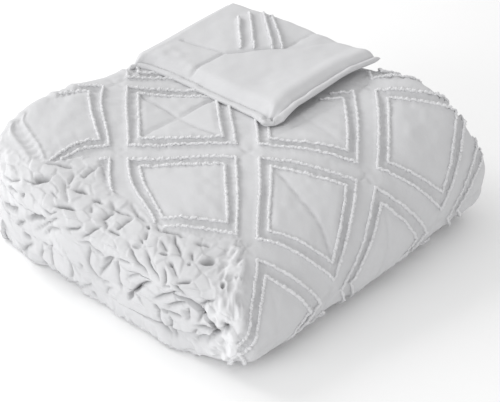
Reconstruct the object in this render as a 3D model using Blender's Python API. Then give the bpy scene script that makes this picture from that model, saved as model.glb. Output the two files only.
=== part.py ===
"""Folded weighted blanket, white, with a tufted diamond trellis and quilted pockets.

The blanket is one quilted cloth. Folded lengthwise it is a thick strip, the strip is laid back and
forth in four layers, and the corner of its top ply is turned over the stack as a flap.
Metres, +Z up. X runs along the crumpled fold side, and the tall smooth fold is at +X.
"""

import math

import bmesh
import bpy
import numpy as np

# the folded bundle
HALF_X = 0.215
HALF_Y = 0.217
STACK = 0.127  # height of the four layers, without the flap
GAP = 0.0020  # between layers
PRESSED = 0.95  # the bundle settles to this share of its height, and is drawn in as much from +Y

# the quilted pattern, on a grid whose lines run parallel to the hems
CELL = 0.0092  # one grid step
LINES = 22  # diagonal grid lines from one tufted square to the next
OUTER = 9  # diagonal lines from a square's middle to its outer tufted row
INNER = 7  # and to its inner one
POCKET = 11  # grid steps from one quilting seam to the next
TUFT_RISE = 0.0036
SEAM_DROP = 0.0024
PUFF = 0.0034
TOP_SQUARE = (11, 20)  # grid steps from the tall fold and from the fold side to a square's middle
FLAP_SQUARE = (-3, 36)  # the same on the flap, from its fold and from the fold side

# the layers at the fold side, where each one's rounded side has its tip at a share of its height
LAYERS = (
    # name, bottom, top, inset, tip's share from side a, depth of side a, depth of side b
    ("bottom", 0.0000, 0.0280, 0.001, 0.42, 0.012, 0.016),
    ("second", 0.0300, 0.0570, 0.005, 0.50, 0.014, 0.014),
    ("third", 0.0590, 0.0905, 0.003, 0.50, 0.014, 0.016),
    ("top", 0.0925, 0.1270, 0.000, 0.78, 0.058, 0.014),
)
SIDE_POWER = 2.2
FAR_SHARE = 0.5  # the +Y side is rounded this much less on side a

# where the strip turns back
TURNS = (
    # name, middle x, middle z, outer reach, up, down, power up, power down, inner reach
    ("inner", 0.0566, 0.06025, 0.1200, 0.03025, 0.03025, 2.2, 2.2, 0.006),
    ("low", -0.170, 0.0285, 0.0420, 0.0285, 0.0285, 2.3, 2.3, 0.006),
    ("outer", 0.0566, 0.0460, 0.1590, 0.0810, 0.0460, 2.10, 3.2, 0.1226),
)

# the flap: one ply, its hem stitched down a little inside its edge
FLAP_THICK = 0.0128
FLAP_REST = 0.0052  # clear of the tufts below
FLAP_SIDE_Y = 0.040
FLAP_END_X = 0.049
HEM_THICK = 0.0075
STITCH_THICK = 0.0050
FLAP_BEND = (-72.0, -40.0, -8.0, 26.0, 60.0)  # degrees round the small fold it turns back in

ACROSS = 46  # grid steps across the strip
ROUND_STEPS = 4  # steps round each side of the strip
TOP_STEPS = 26  # grid steps along the top layer
JOIN = 6  # hidden faces are joined in groups of this many steps

WHITE = (0.84, 0.84, 0.85, 1.0)


def row_of(table, name):
    """The row of a table with this name."""
    return next(row for row in table if row[0] == name)


def fold_curve(cx, cz, reach, up, down, power_up, power_down, start, stop):
    """A rounded fold from one angle to another, in degrees: 0 is its tip and 90 its top."""
    angles = np.radians(np.linspace(start, stop, 240))
    c, s = np.cos(angles), np.sin(angles)
    high = np.where(s > 0, up, down)
    power = np.where(s > 0, power_up, power_down)
    x = cx + reach * np.abs(c) ** (2 / power)
    return np.stack([x, cz + high * np.sign(s) * np.abs(s) ** (2 / power)], 1)


def level(x0, x1, z):
    """A straight run at one height."""
    return np.stack([np.linspace(x0, x1, 30), np.full(30, z)], 1)


def resample(line_a, line_b, steps, first):
    """The pair of lines at points evenly spaced along the first of them."""
    along = np.concatenate([[0.0], np.cumsum(np.linalg.norm(np.diff(line_a, axis=0), axis=1))])
    wanted = np.linspace(0.0, along[-1], steps + 1)[0 if first else 1 :]
    index = np.arange(len(along))
    share = np.interp(wanted, along, index)
    both = []
    for side in (line_a, line_b):
        both.append(np.stack([np.interp(share, index, side[:, k]) for k in (0, 1)], 1))
    return both


def strip_path():
    """The strip's two sides along its back-and-forth path, with each station's layer."""
    (z0, z1), (z2, z3), (z4, z5), (z6, z7) = (row[1:3] for row in LAYERS)
    inner, low, outer = TURNS
    slit = 0.5 * GAP
    half = 0.5 * (z6 - z1)
    mirror = (-1, 1)
    inner_a = fold_curve(inner[1], 0.5 * (z3 + z4), inner[8], slit, slit, 2.0, 2.0, 90, -90)
    inner_b = fold_curve(*inner[1:8], 90, -90)
    low_a = fold_curve(-low[1], *low[2:8], 90, -90) * mirror
    low_b = fold_curve(-low[1], 0.5 * (z1 + z2), low[8], slit, slit, 2.0, 2.0, 90, -90) * mirror
    outer_a = fold_curve(*outer[1:8], -90, 90)
    outer_b = fold_curve(outer[1], 0.5 * (z1 + z6), outer[8], half, half, 2.2, 2.2, -90, 90)
    arc = float(np.linalg.norm(np.diff(outer_a, axis=0), axis=1).sum())
    top_end = outer[1] - TOP_STEPS * CELL
    parts = (
        # layer, side a, side b, steps
        ("third", level(-0.190, inner[1], z4), level(-0.184, inner[1], z5), 20),
        ("inner turn", inner_a, inner_b, 8),
        ("second", level(inner[1], low[1], z3), level(inner[1], low[1], z2), 20),
        ("low turn", low_a, low_b, 7),
        ("bottom", level(low[1], outer[1], z0), level(low[1], outer[1], z1), 20),
        ("outer turn", outer_a, outer_b, round(arc / CELL)),
        ("top", level(outer[1], top_end, z7), level(outer[1], top_end + 0.008, z6), TOP_STEPS),
    )
    rows_a, rows_b, names = [], [], []
    for at, (name, side_a, side_b, steps) in enumerate(parts):
        a, b = resample(side_a, side_b, steps, at == 0)
        rows_a.append(a)
        rows_b.append(b)
        names += [name] * len(a)
    return np.concatenate(rows_a), np.concatenate(rows_b), names


def strip_sides(rows_a, names):
    """Each station's reach to -Y and +Y, its tip's share and the depth of its sides a and b."""
    layer_of = {"inner turn": "third", "low turn": "second"}
    nose = [at for at, name in enumerate(names) if name == "outer turn"]
    low, high = row_of(LAYERS, "bottom"), row_of(LAYERS, "top")
    out = []
    for at, name in enumerate(names):
        x = rows_a[at][0]
        if name == "outer turn":
            share = (at - nose[0] + 1) / len(nose)
            ease = 0.5 - 0.5 * math.cos(math.pi * share)
            inset, tip, deep_a, deep_b = (low[k] + (high[k] - low[k]) * ease for k in range(3, 7))
            apex = math.sin(math.pi * share)
            deep_a += (0.022 - deep_a) * apex**2
            inset += 0.006 * apex**3
        else:
            inset, tip, deep_a, deep_b = row_of(LAYERS, layer_of.get(name, name))[3:]
        corner = 0.026 * max(0.0, (-x - 0.120) / 0.090) ** 2.0
        corner += (0.010, 0.003, 0.0)[min(at, len(names) - 1 - at, 2)]
        wave = 0.0026 * math.sin(31 * x + 900 * inset) + 0.0014 * math.sin(67 * x + 1.0)
        out.append((-HALF_Y + inset + corner + wave, HALF_Y - inset - corner, tip, deep_a, deep_b))
    return out


def trellis(i, j, middle, hems=None):
    """Height of the tufted rows, seams and puffed pockets at a grid point.

    Near the hems only whole squares are tufted, and the rest is plain quilting.
    """
    i, j = i - middle[0], j - middle[1]
    turn_u = round((i + j) / LINES) * LINES
    turn_v = round((i - j) / LINES) * LINES
    u = abs(i + j - turn_u)
    v = abs(i - j - turn_v)
    ring = max(u, v)
    tuft = max(0.0, 1 - abs(ring - OUTER)) + max(0.0, 1 - abs(ring - INNER))
    if hems is not None:
        square_i = middle[0] + 0.5 * (turn_u + turn_v)
        square_j = middle[1] + 0.5 * (turn_u - turn_v)
        if square_i + OUTER >= hems[0] or square_j - OUTER <= hems[1]:
            tuft = 0.0
    seam_i = abs((i + POCKET / 2) % POCKET - POCKET / 2)
    seam_j = abs((j + POCKET / 2) % POCKET - POCKET / 2)
    puff = (math.sin(math.pi * seam_i / POCKET) * math.sin(math.pi * seam_j / POCKET)) ** 0.5
    seam = max(0.0, 1 - min(seam_i, seam_j))
    corner = abs(u - v) < 1
    if ring > INNER - 2 and corner:
        seam, tuft = 0.4 * seam, 0.5 * tuft
    return TUFT_RISE * tuft + PUFF * puff - SEAM_DROP * seam * (0.35 if tuft > 0 else 1.0)


def column_y(j, low, high):
    """The width position of a grid column."""
    return 0.5 * (low + high) + (j / ACROSS - 0.5) * (high - low - 0.014)


def section(j, r, a, b, low, high, tip, deep_a, deep_b):
    """The strip's outline at one station: the point of grid column j and side row r."""
    y = column_y(j, low, high)
    out = min(y - low, high - y)
    if j > ACROSS / 2:
        deep_a *= FAR_SHARE
    near_a, near_b = (
        1 - (1 - max(0.0, 1 - out / deep) ** SIDE_POWER) ** (1 / SIDE_POWER)
        for deep in (deep_a, deep_b)
    )
    from_a = tip * near_a
    from_b = 1 - (1 - tip) * near_b
    share = from_a + (from_b - from_a) * r / ROUND_STEPS
    if 0 < r < ROUND_STEPS and j in (0, ACROSS):
        deep = deep_a if share < tip else deep_b
        to_tip = share / tip if share < tip else (1 - share) / (1 - tip)
        edge = deep * (1 - (1 - (1 - to_tip) ** SIDE_POWER) ** (1 / SIDE_POWER))
        y = low + edge if j == 0 else high - edge
    return a + (b - a) * share, y


def end_cap(j, r, a, b, sides, bulge):
    """A point on the rounded end of the strip."""
    point, y = section(j, r, a, b, *sides)
    inside = 1 - abs(2 * j / ACROSS - 1) ** 8
    push = bulge * inside * math.sin(math.pi * r / ROUND_STEPS) ** 0.7
    return point - np.array([push, 0.0]), y


def folded_strip(rows_a, rows_b, sides):
    """The four layers: a box cut into a grid and laid along the folds."""
    last = len(rows_a) - 1
    bm = bmesh.new()
    bmesh.ops.create_cube(bm, size=1.0)
    for axis, cuts in ((0, last - 1), (1, ACROSS - 1), (2, ROUND_STEPS - 1)):
        whole = [e for e in bm.edges if abs(e.verts[0].co[axis] - e.verts[1].co[axis]) > 0.5]
        bmesh.ops.subdivide_edges(bm, edges=whole, cuts=cuts, use_grid_fill=True)
    station = bm.verts.layers.int.new("station")
    column = bm.verts.layers.int.new("column")
    side = bm.verts.layers.int.new("side")
    for v in bm.verts:
        i = round((v.co.x + 0.5) * last)
        j = round((v.co.y + 0.5) * ACROSS)
        r = round((0.5 - v.co.z) * ROUND_STEPS)
        v[station], v[column], v[side] = i, j, r
        if i in (0, last) and 0 < r < ROUND_STEPS and 0 < j < ACROSS:
            point, y = end_cap(j, r, rows_a[i], rows_b[i], sides[i], 0.022)
        else:
            point, y = section(j, r, rows_a[i], rows_b[i], *sides[i])
        v.co = (point[0], y, point[1])
    return bm


def flap_thickness(steps_in):
    """The ply's thickness so many grid steps in from its hems."""
    if steps_in <= 0:
        return HEM_THICK
    return STITCH_THICK if steps_in == 1 else FLAP_THICK


def flap_height(x, y):
    """How far the flap lies over the stack: its corner is bunched up and its hems wave a little."""
    tip = math.hypot((x - FLAP_END_X) / 0.045, (y - FLAP_SIDE_Y) / 0.045)
    wave = 0.0006 * math.sin(38 * x + 0.5) + 0.0006 * math.sin(33 * y + 1.2)
    return FLAP_REST + wave + 0.0052 * math.exp(-tip * tip)


def flap_plan(x, y):
    """Where a point of the flap lies: its corner is rounded and its hems aren't quite straight."""
    reach = 0.030
    u = min(1.0, max(0.0, (x - FLAP_END_X + reach) / reach))
    v = min(1.0, max(0.0, (FLAP_SIDE_Y + reach - y) / reach))
    x += reach * u * (math.sqrt(1 - 0.5 * v * v) - 1)
    y -= reach * v * (math.sqrt(1 - 0.5 * u * u) - 1)
    by_side = max(0.0, 1 - (y - FLAP_SIDE_Y) / 0.06)
    by_end = max(0.0, 1 - (FLAP_END_X - x) / 0.06)
    y += by_side * (0.003 * math.sin(19 * x + 2.2) - 0.002)
    x += by_end * 0.004 * math.sin(16 * y + 0.4)
    return x, y


def turn_over_flap(bm, first, last, end):
    """The top ply runs on past the strip's end, turns back over the stack and ends in its hems."""
    station, column, side = (bm.verts.layers.int[k] for k in ("station", "column", "side"))
    faces = []
    for f in bm.faces:
        if all(v[station] == last and v[side] <= 1 and v[column] >= first for v in f.verts):
            faces.append(f)
    turn_x = end[0] - 0.0015
    steps = round((FLAP_END_X - turn_x) / CELL)
    total = len(FLAP_BEND) + steps
    middle_z = STACK + 0.5 * FLAP_REST
    for at in range(1, total + 1):
        made = bmesh.ops.extrude_face_region(bm, geom=faces)["geom"]
        bmesh.ops.delete(bm, geom=faces, context="FACES")
        faces = [g for g in made if isinstance(g, bmesh.types.BMFace)]
        for v in (g for g in made if isinstance(g, bmesh.types.BMVert)):
            j, r = v[column], v[side]
            v[station] = last + at
            if at <= len(FLAP_BEND):
                swing = math.radians(FLAP_BEND[at - 1])
                radius = 0.5 * FLAP_REST + r * FLAP_THICK
                v.co.x = turn_x - radius * math.cos(swing) * (1.0 if r else 0.6)
                v.co.z = middle_z + radius * math.sin(swing)
                continue
            steps_in = min(j - first, 2 * (ACROSS - j), total - at)
            thick = flap_thickness(steps_in)
            x = turn_x + (at - len(FLAP_BEND)) / steps * (FLAP_END_X - turn_x)
            y = column_y(j, -HALF_Y, HALF_Y)
            if j == first:
                y = FLAP_SIDE_Y
            x, y = flap_plan(x, y)
            under = 0.35 * (FLAP_THICK - thick)
            v.co = (x, y, STACK + flap_height(x, y) + under + (thick if r else 0.0))
    return total


def crumple(x, z):
    """How far the fold side stands in or out: soft upright gathers and slanting creases."""
    low = 0.0046 * math.sin(44 * x + 21 * z + 1.3 * math.sin(30 * z + 0.4))
    mid = 0.0030 * math.sin(83 * x - 57 * z + 1.7 * math.sin(41 * x + 0.9))
    fine = 0.0016 * math.sin(139 * x + 92 * z + 2.0 * math.sin(60 * z))
    return low + mid + fine - 0.0022


def settle(x, y, z):
    """The whole bundle's crown, bulge and lean, the same for every layer. Its foot stays flat."""
    up = z / STACK
    u, v = x / HALF_X, y / HALF_Y
    crown = 0.010 * (1 - 0.7 * v * v)
    shoulder = math.exp(-(((x + 0.165) / 0.075) ** 2) - ((y + 0.055) / 0.080) ** 2)
    lean = 0.0205 * v + 0.0123 * u * v - 0.0111 * u + 0.0081 * u * u + 0.006 * shoulder
    lean += 0.014 * abs(u) * max(0.0, v) ** 2
    lean += 0.012 * math.exp(-(((x - 0.105) / 0.065) ** 2) - ((y - 0.215) / 0.085) ** 2)
    spread = min(1.0, max(0.0, (-x - 0.090) / 0.090)) * min(1.0, max(0.0, (0.000 - y) / 0.060))
    roll = 0.0022 * math.sin(17 * x + 9 * y + 0.6) + 0.0016 * math.sin(26 * y - 11 * x + 2.0)
    new_z = PRESSED * (z + up * (crown + lean + roll))
    new_x = x + 0.0035 * math.sin(13 * y + 0.5) * up + 0.004 * u * (1 - v * v)
    new_x -= 0.013 * spread * spread * (3 - 2 * spread) + 0.0048 * v * max(0.0, -u)
    new_y = PRESSED * (y + 0.0040 * math.sin(12 * x - 0.7) * up + 0.005 * v * (1 - u * u))
    new_y += 0.0337 * max(0.0, v) ** 2
    return new_x, new_y, new_z


def raise_pattern(bm, names, sides, first, last, total):
    """Lifts the trellis on the faces that show, and crumples the fold side."""
    station, column, side = (bm.verts.layers.int[k] for k in ("station", "column", "side"))
    rise = bm.verts.layers.float.new("rise")
    nose, top = names.index("outer turn"), names.index("top")
    middle = (top + TOP_SQUARE[0], TOP_SQUARE[1])
    flap_middle = (last + len(FLAP_BEND) + FLAP_SQUARE[0], FLAP_SQUARE[1])
    bm.normal_update()
    shifts = []
    for v in bm.verts:
        i, j, r = v[station], v[column], v[side]
        x, y, z = v.co
        h = 0.0
        if i > last + len(FLAP_BEND) and r == 1:
            inside = min(j - first, last + total - i)
            h = trellis(i, j, flap_middle, (last + total, first))
            h *= min(1.0, max(0.0, (inside - 1) / 2))
        elif nose <= i <= last and r == 0:
            h = trellis(i, j, middle) * min(1.0, (i - nose) / 4)
            under = min(j - first, (FLAP_END_X - x) / CELL) if i > top else -1
            if under > -0.6:
                h = min(h, 0.0030)
            if under > 1.2:
                h = 0.0026
        if 0 < i <= last and j <= 5:
            low, _, _, deep_a, deep_b = sides[i]
            weight = max(0.0, 1 - (y - low) / (deep_a if r < 3 else deep_b)) ** 2
            h += weight * crumple(x, z) * min(1.0, max(0.0, (z - 0.004) / 0.02))
        v[rise] = h
        shifts.append(v.normal * h)
    for v, shift in zip(bm.verts, shifts):
        x, y, z = v.co + shift
        v.co = settle(x, y, max(0.0, z))


def hidden_group(f, layers, names, first, last, total):
    """The group a hidden face is joined in, or None for a face that shows."""
    i, j, r = ([v[k] for v in f.verts] for k in layers)
    wide = (min(j) // JOIN, max(i) // JOIN)
    if max(j) == min(j):
        if j[0] != ACROSS or max(i) > last:
            return None
        name = names[max(i)]
        return ("high", min(r), name, max(i) // (2 if "turn" in name else 3))
    if max(r) != min(r):
        return None
    if max(i) > last:
        inside = min(min(j) - first, last + total - max(i))
        if r[0] or inside < 1 or min(i) < last + len(FLAP_BEND):
            return None
        return ("flap", *wide)
    name = names[max(i)]
    if name == "top" and r[0] == 0:
        near = names.index("top") + 6
        return ("under", *wide) if min(j) >= first + 3 and min(i) >= near else None
    if name == "outer turn" and r[0] == 0:
        return None
    if name == "low turn" and r[0] == 0:
        return ("low", min(j) // 2, max(i))
    if "turn" in name:
        return (name, r[0], min(j) // JOIN, max(i) // 2)
    if max(i) in (1,) or min(i) == 0:
        return (name, r[0], min(j) // JOIN, "end")
    return (name, r[0], *wide)


def join_hidden(bm, names, first, last, total):
    """Joins the small faces that no one sees into larger ones, and cuts the rest into triangles."""
    layers = [bm.verts.layers.int[k] for k in ("station", "column", "side")]
    rise = bm.verts.layers.float["rise"]
    groups = {}
    for f in bm.faces:
        key = hidden_group(f, layers, names, first, last, total)
        if key is not None:
            groups.setdefault(key, []).append(f)
    for faces in groups.values():
        if len(faces) > 1:
            bmesh.ops.dissolve_faces(bm, faces=faces)
    bmesh.ops.dissolve_verts(bm, verts=[v for v in bm.verts if len(v.link_edges) == 2])
    for f in [f for f in bm.faces if len(f.verts) == 4]:
        a, b, c, d = f.verts
        if abs(a[rise] - c[rise]) <= abs(b[rise] - d[rise]):
            bmesh.utils.face_split(f, a, c)
        else:
            bmesh.utils.face_split(f, b, d)
    rest = [f for f in bm.faces if len(f.verts) > 3]
    bmesh.ops.triangulate(bm, faces=rest, ngon_method="BEAUTY")
    bmesh.ops.recalc_face_normals(bm, faces=bm.faces)


def white_cloth():
    """The blanket's white cotton."""
    mat = bpy.data.materials.new("white_cotton")
    mat.use_nodes = True
    shader = mat.node_tree.nodes["Principled BSDF"]
    shader.inputs["Base Color"].default_value = WHITE
    shader.inputs["Roughness"].default_value = 0.9
    shader.inputs["Metallic"].default_value = 0.0
    return mat


def main():
    for ob in list(bpy.data.objects):
        bpy.data.objects.remove(ob, do_unlink=True)
    home = bpy.data.collections.new("weighted_blanket")
    bpy.context.scene.collection.children.link(home)

    rows_a, rows_b, names = strip_path()
    sides = strip_sides(rows_a, names)
    last = len(names) - 1
    columns = range(ACROSS)
    first = min(columns, key=lambda j: abs(column_y(j, -HALF_Y, HALF_Y) - FLAP_SIDE_Y))
    bm = folded_strip(rows_a, rows_b, sides)
    total = turn_over_flap(bm, first, last, rows_a[-1])
    raise_pattern(bm, names, sides, first, last, total)
    join_hidden(bm, names, first, last, total)
    low = min(v.co.z for v in bm.verts)
    mid_x = 0.5 * (min(v.co.x for v in bm.verts) + max(v.co.x for v in bm.verts))
    mid_y = 0.5 * (min(v.co.y for v in bm.verts) + max(v.co.y for v in bm.verts))
    bmesh.ops.translate(bm, verts=bm.verts, vec=(-mid_x, -mid_y, -low))

    mesh = bpy.data.meshes.new("blanket")
    bm.to_mesh(mesh)
    bm.free()
    blanket = bpy.data.objects.new("blanket", mesh)
    blanket.data.materials.append(white_cloth())
    home.objects.link(blanket)


if __name__ == "__main__":
    main()
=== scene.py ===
import math
from functools import cache

import bmesh
import bpy
import numpy as np
from bpy.props import FloatProperty, FloatVectorProperty, IntProperty, PointerProperty
from mathutils import Matrix, Vector


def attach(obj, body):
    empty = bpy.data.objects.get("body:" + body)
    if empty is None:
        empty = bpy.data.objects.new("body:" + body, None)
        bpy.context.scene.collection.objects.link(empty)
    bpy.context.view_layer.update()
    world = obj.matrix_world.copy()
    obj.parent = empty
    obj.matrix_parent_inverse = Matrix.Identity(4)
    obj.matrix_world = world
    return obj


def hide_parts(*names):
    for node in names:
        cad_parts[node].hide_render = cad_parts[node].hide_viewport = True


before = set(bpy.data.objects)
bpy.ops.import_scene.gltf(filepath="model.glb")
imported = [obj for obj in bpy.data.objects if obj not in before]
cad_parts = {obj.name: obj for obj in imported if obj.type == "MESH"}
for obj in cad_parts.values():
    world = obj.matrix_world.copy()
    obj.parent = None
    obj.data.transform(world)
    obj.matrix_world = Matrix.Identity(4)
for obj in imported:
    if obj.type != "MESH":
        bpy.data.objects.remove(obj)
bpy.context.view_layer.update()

bl_info = {
    "name": "Folded weighted blanket",
    "version": (1, 0, 0),
    "blender": (4, 5, 0),
    "location": "View3D > Sidebar > Blanket",
    "description": "Dresses the folded blanket: quilted cloth, turned-over corner, tufted rows and hem",
    "category": "Object",
}

# the camera, and the photo's size in pixels
AZIMUTH, ELEVATION = 42.59, 31.74
DISTANCE = 1.6545
AIM_RIGHT, AIM_UP = 0.0245, 0.0305
LENS = 97.2
FILM = 36.0
PHOTO_WIDE, PHOTO_TALL = 500, 402

MM = 0.001
HILL_TABLE = 64  # smooth noise repeats after this many hills

# the fold, the same as in the solids
HALF_X = 0.215
HALF_Y = 0.217
STACK = 0.127  # height of the four layers, without the corner
GAP = 0.0020  # between layers
PRESSED = 0.95  # the bundle settles to this share of its height and of its reach along Y
CELL = 0.0092  # one grid step of the trellis, parallel to the hems
LINES = 22  # diagonal grid lines from one tufted square to the next
OUTER = 9  # diagonal lines from a square's middle to its outer tufted row
INNER = 7  # and to its inner one
POCKET = 11  # grid steps from one quilting seam to the next
NOSE_CELLS, TOP_CELLS, ACROSS = 41, 26, 46  # grid steps up the tall fold, along the top and across
TOP_SQUARE = (11, 20)  # grid steps to a square's middle, from one past the tall fold and from -Y
DIAGONAL = CELL / math.sqrt(2)
SIDE_POWER = 2.2
FAR_SHARE = 0.5  # the +Y side is rounded this share as deep as the fold side
MIDDLE = (-0.0017, 0.0105, 0.0)  # of the settled bundle, which is then moved to the origin

# how the bundle settles: lengths in metres, and its own places in halves of its width and depth
CROWN, CROWN_FALL = 0.010, 0.7
LEAN_V, LEAN_UV, LEAN_U, LEAN_UU = 0.0205, 0.0123, -0.0111, 0.0081
FAR_ENDS = 0.014
SHOULDERS = (
    # height, middle x and y, reach along x and y
    (0.006, -0.165, -0.055, 0.075, 0.080),
    (0.012, 0.105, 0.215, 0.065, 0.085),
)
ROLLS = ((0.0022, 17, 9, 0.6), (0.0016, -11, 26, 2.0))  # height, turns along x and y, start
SWAY_X, SWAY_Y = (0.0035, 13, 0.5), (0.0040, 12, -0.7)  # sideways: size, turns, start
BULGE_X, BULGE_Y, FAR_BULGE = 0.004, 0.005, 0.0337
SPREAD, SPREAD_X, SPREAD_Y = 0.013, 0.090, 0.060
TWIST = 0.0048

# how the trellis lies askew on the bundle, read from where its corners show in the photo
ASKEW_MARKS = (
    # diagonal lines of the trellis, and where they cross in the photo, in pixels
    (-7, 7, 139, 136), (-7, -7, 222, 137), (-9, 9, 127, 145), (-9, -9, 236, 147), (-7, 0, 180, 136),
    (8, 0, 175, 92), (0, 9, 131, 122), (0, -9, 235, 127), (-13, 9, 127, 157), (-13, -9, 237, 157),
    (-13, 0, 182, 155), (-15, -7, 226, 163), (-15, 7, 140, 164), (-29, -7, 228, 219),
    (-31, -9, 243, 236), (-22, -9, 236, 196), (-22, 9, 131, 193), (-22, 7, 143, 196),
    (-13, -13, 259, 158), (-13, -31, 358, 181), (-13, -22, 305, 165), (-15, -15, 275, 172),
    (-15, -29, 347, 188), (-29, -15, 270, 234), (-31, -13, 260, 241), (-31, -31, 328, 279),
    (-22, -31, 349, 222), (-22, -13, 260, 200), (-31, -22, 298, 261), (-7, -29, 347, 149),
    (-9, -31, 362, 163), (-9, -13, 258, 145), (-9, -22, 310, 151), (0, -31, 360, 125),
    (0, -29, 347, 122), (9, -35, 374, 89), (7, -37, 388, 102), (-7, -37, 388, 162),
    (-9, -35, 378, 173), (-7, -51, 437, 190), (-9, -53, 441, 207), (0, -35, 379, 133),
    (0, -53, 462, 155), (9, -44, 418, 95), (-9, -44, 413, 192), (-13, -35, 372, 187),
    (-22, -35, 360, 237), (-31, -35, 341, 288), (-35, -13, 258, 257), (-35, -31, 322, 305),
    (-35, -22, 290, 277), (-7, 15, 91, 137), (-9, 13, 105, 147), (0, 13, 107, 118),
    (0, 15, 96, 116), (-13, 13, 104, 161), (-22, 13, 117, 193), (-7, 20, 80, 142),
    (-7, 24, 70, 146), (-7, 28, 59, 153), (-9, 17, 93, 149), (-9, 20, 80, 153), (-7, 29, 52, 159),
    (-3, 29, 38, 159), (0, 29, 26, 148), (3, 29, 22, 136), (5, 29, 21, 128), (-17, 13, 106, 172),
    (-20, 13, 109, 182), (-23, 13, 117, 192), (-26, 13, 130, 199), (-28, 13, 136, 209),
    (-31, 13, 147, 222), (-18, 9, 125, 175), (-22, 9, 130, 190), (-26, 9, 138, 205),
    (-30, 9, 150, 222), (-31, 9, 155, 228), (-19, 7, 138, 185), (-23, 7, 145, 200),
    (-26, 7, 154, 208), (-29, 7, 168, 215), (-31, 4, 172, 234), (-29, 4, 180, 221),
)
ASKEW_REACH = ((-46, 16), (-60, 22))  # diagonal lines, past which the shift stays the same
ASKEW_KNOTS = (
    # diagonal lines round which the cloth is pulled a little on its own
    (-7, 24), (-6, 32), (-14, 28), (3, 34), (-28, 14), (-20, 15), (-29, 5), (-22, 8), (-34, 6),
    (-9, 17), (-13, 20),
)
KNOT_REACH = 9.0
ASKEW_UNIT = 30  # the cubic counts diagonal lines in thirties
ASKEW_STIFF = (0.02, 0.05, 0.05, 0.1, 0.1, 0.1, 0.2, 0.2, 0.2, 0.2)  # holds each term of it down
KNOT_STIFF = 0.25

LAYERS = {
    # bottom, top, inset, tip's share from side a, depth of side a, depth of side b
    "bottom": (0.0000, 0.0280, 0.001, 0.42, 0.012, 0.010),
    "second": (0.0300, 0.0570, 0.005, 0.50, 0.010, 0.010),
    "third": (0.0590, 0.0905, 0.003, 0.50, 0.010, 0.010),
    "top": (0.0925, 0.1270, 0.000, 0.78, 0.058, 0.012),
}
TURNS = {
    # middle x, middle z, outer reach, up, down, power up, power down, inner reach
    "inner": (0.0566, 0.06025, 0.1200, 0.03025, 0.03025, 2.2, 2.2, 0.006),
    "low": (-0.170, 0.0285, 0.0420, 0.0285, 0.0285, 2.3, 2.3, 0.006),
    "outer": (0.0566, 0.0460, 0.1590, 0.0810, 0.0460, 2.10, 3.2, 0.1226),
}

PATTERNED = ("outer turn", "top")  # the parts of the strip whose outer face shows the trellis
ROUND = 2.0  # the power of a circle
FREE_END, FREE_SLOPE, TOP_SLOPE = -0.190, 0.006, 0.008  # where the strip ends, and how its ends slope
SLIT_LEAST, SLIT_OPENS = 0.07, (0.125, 0.190)  # the slits open from the middle toward both ends
NOSE_DEPTH, NOSE_INSET = 0.022, 0.006  # the tall fold's side at its height
FOOT_INSET, FOOT_DRAWN = 0.0095, (-0.030, 0.050)  # the bottom layer is drawn in on the left
LEFT_CORNER, LEFT_START, LEFT_REACH = 0.026, 0.120, 0.090
END_CORNER, END_REACH = 0.010, 0.012
WAVES, LAYER_TURN = ((0.0026, 31), (0.0014, 67)), 900  # along the fold side: depth and turns
PATTERN_SPARE = 0.014  # the strip's width that the pattern leaves out
LIT_WAY, LIT_WIDE = np.array((-0.6, 0.8)), 0.0012  # the lit side of a crease, along and up

# the mesh of the cloth
FOLD_POINTS, RUN_POINTS = 480, 60
STEP = 0.0015
BLOCK = 16
FACE = 256  # steps across each face of the strip
FAR_SIDE = (24, 8)  # steps round its +Y side, on side a and on side b
NEAR_SIDE = (64, 32)  # and round its crumpled -Y side
CAP_RINGS = 6
CAP_BULGE = 0.022

# the quilting's relief: each size is a height or depth, then a width or the size of its hills
ROW_WIDE = 0.0022
RAGGED, RAGGED_SIZE = 0.35, 0.006
CHANNEL, CHANNEL_WIDE = 0.0012, 0.0050
PUCKER, PUCKER_STEP, PUCKER_BAND, PUCKER_SIZE = 0.0006, 0.0085, 0.0130, 0.02
SEAM_WIDE, BAND_SEAM = 0.0017, 0.8
DOME = 0.8
CLOTH_HILLS = ((0.0011, 0.031), (0.0007, 0.014))
PLAIN_SEAMS, SEAM_CHANGE = 0.55, 0.25
UNDER_CORNER = 0.001
FOOT_STATIONS = 26  # the pattern fades in over these from the floor
BAND_PART, SQUARE_PART, PUFF_PART = (0.3, 1.2), (-0.2, -1.0), (0.2, -1.2)  # from a tufted row outward
CLEAR_SEAMS = (
    # the tufted square on each diagonal, and how clear its two seams are
    (0, 0, 1.0, 1.0), (-1, 0, 0.0, 0.0), (-1, -1, 0.0, 0.9), (0, -1, 0.5, 0.4), (0, 1, 0.0, 0.0),
    (0, -2, 0.1, 0.15), (-1, -2, 0.2, 0.6),
)
WORN_ROWS = ((0, 1, 0),)  # the square on each diagonal, and which of its sides has no pile left

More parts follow.
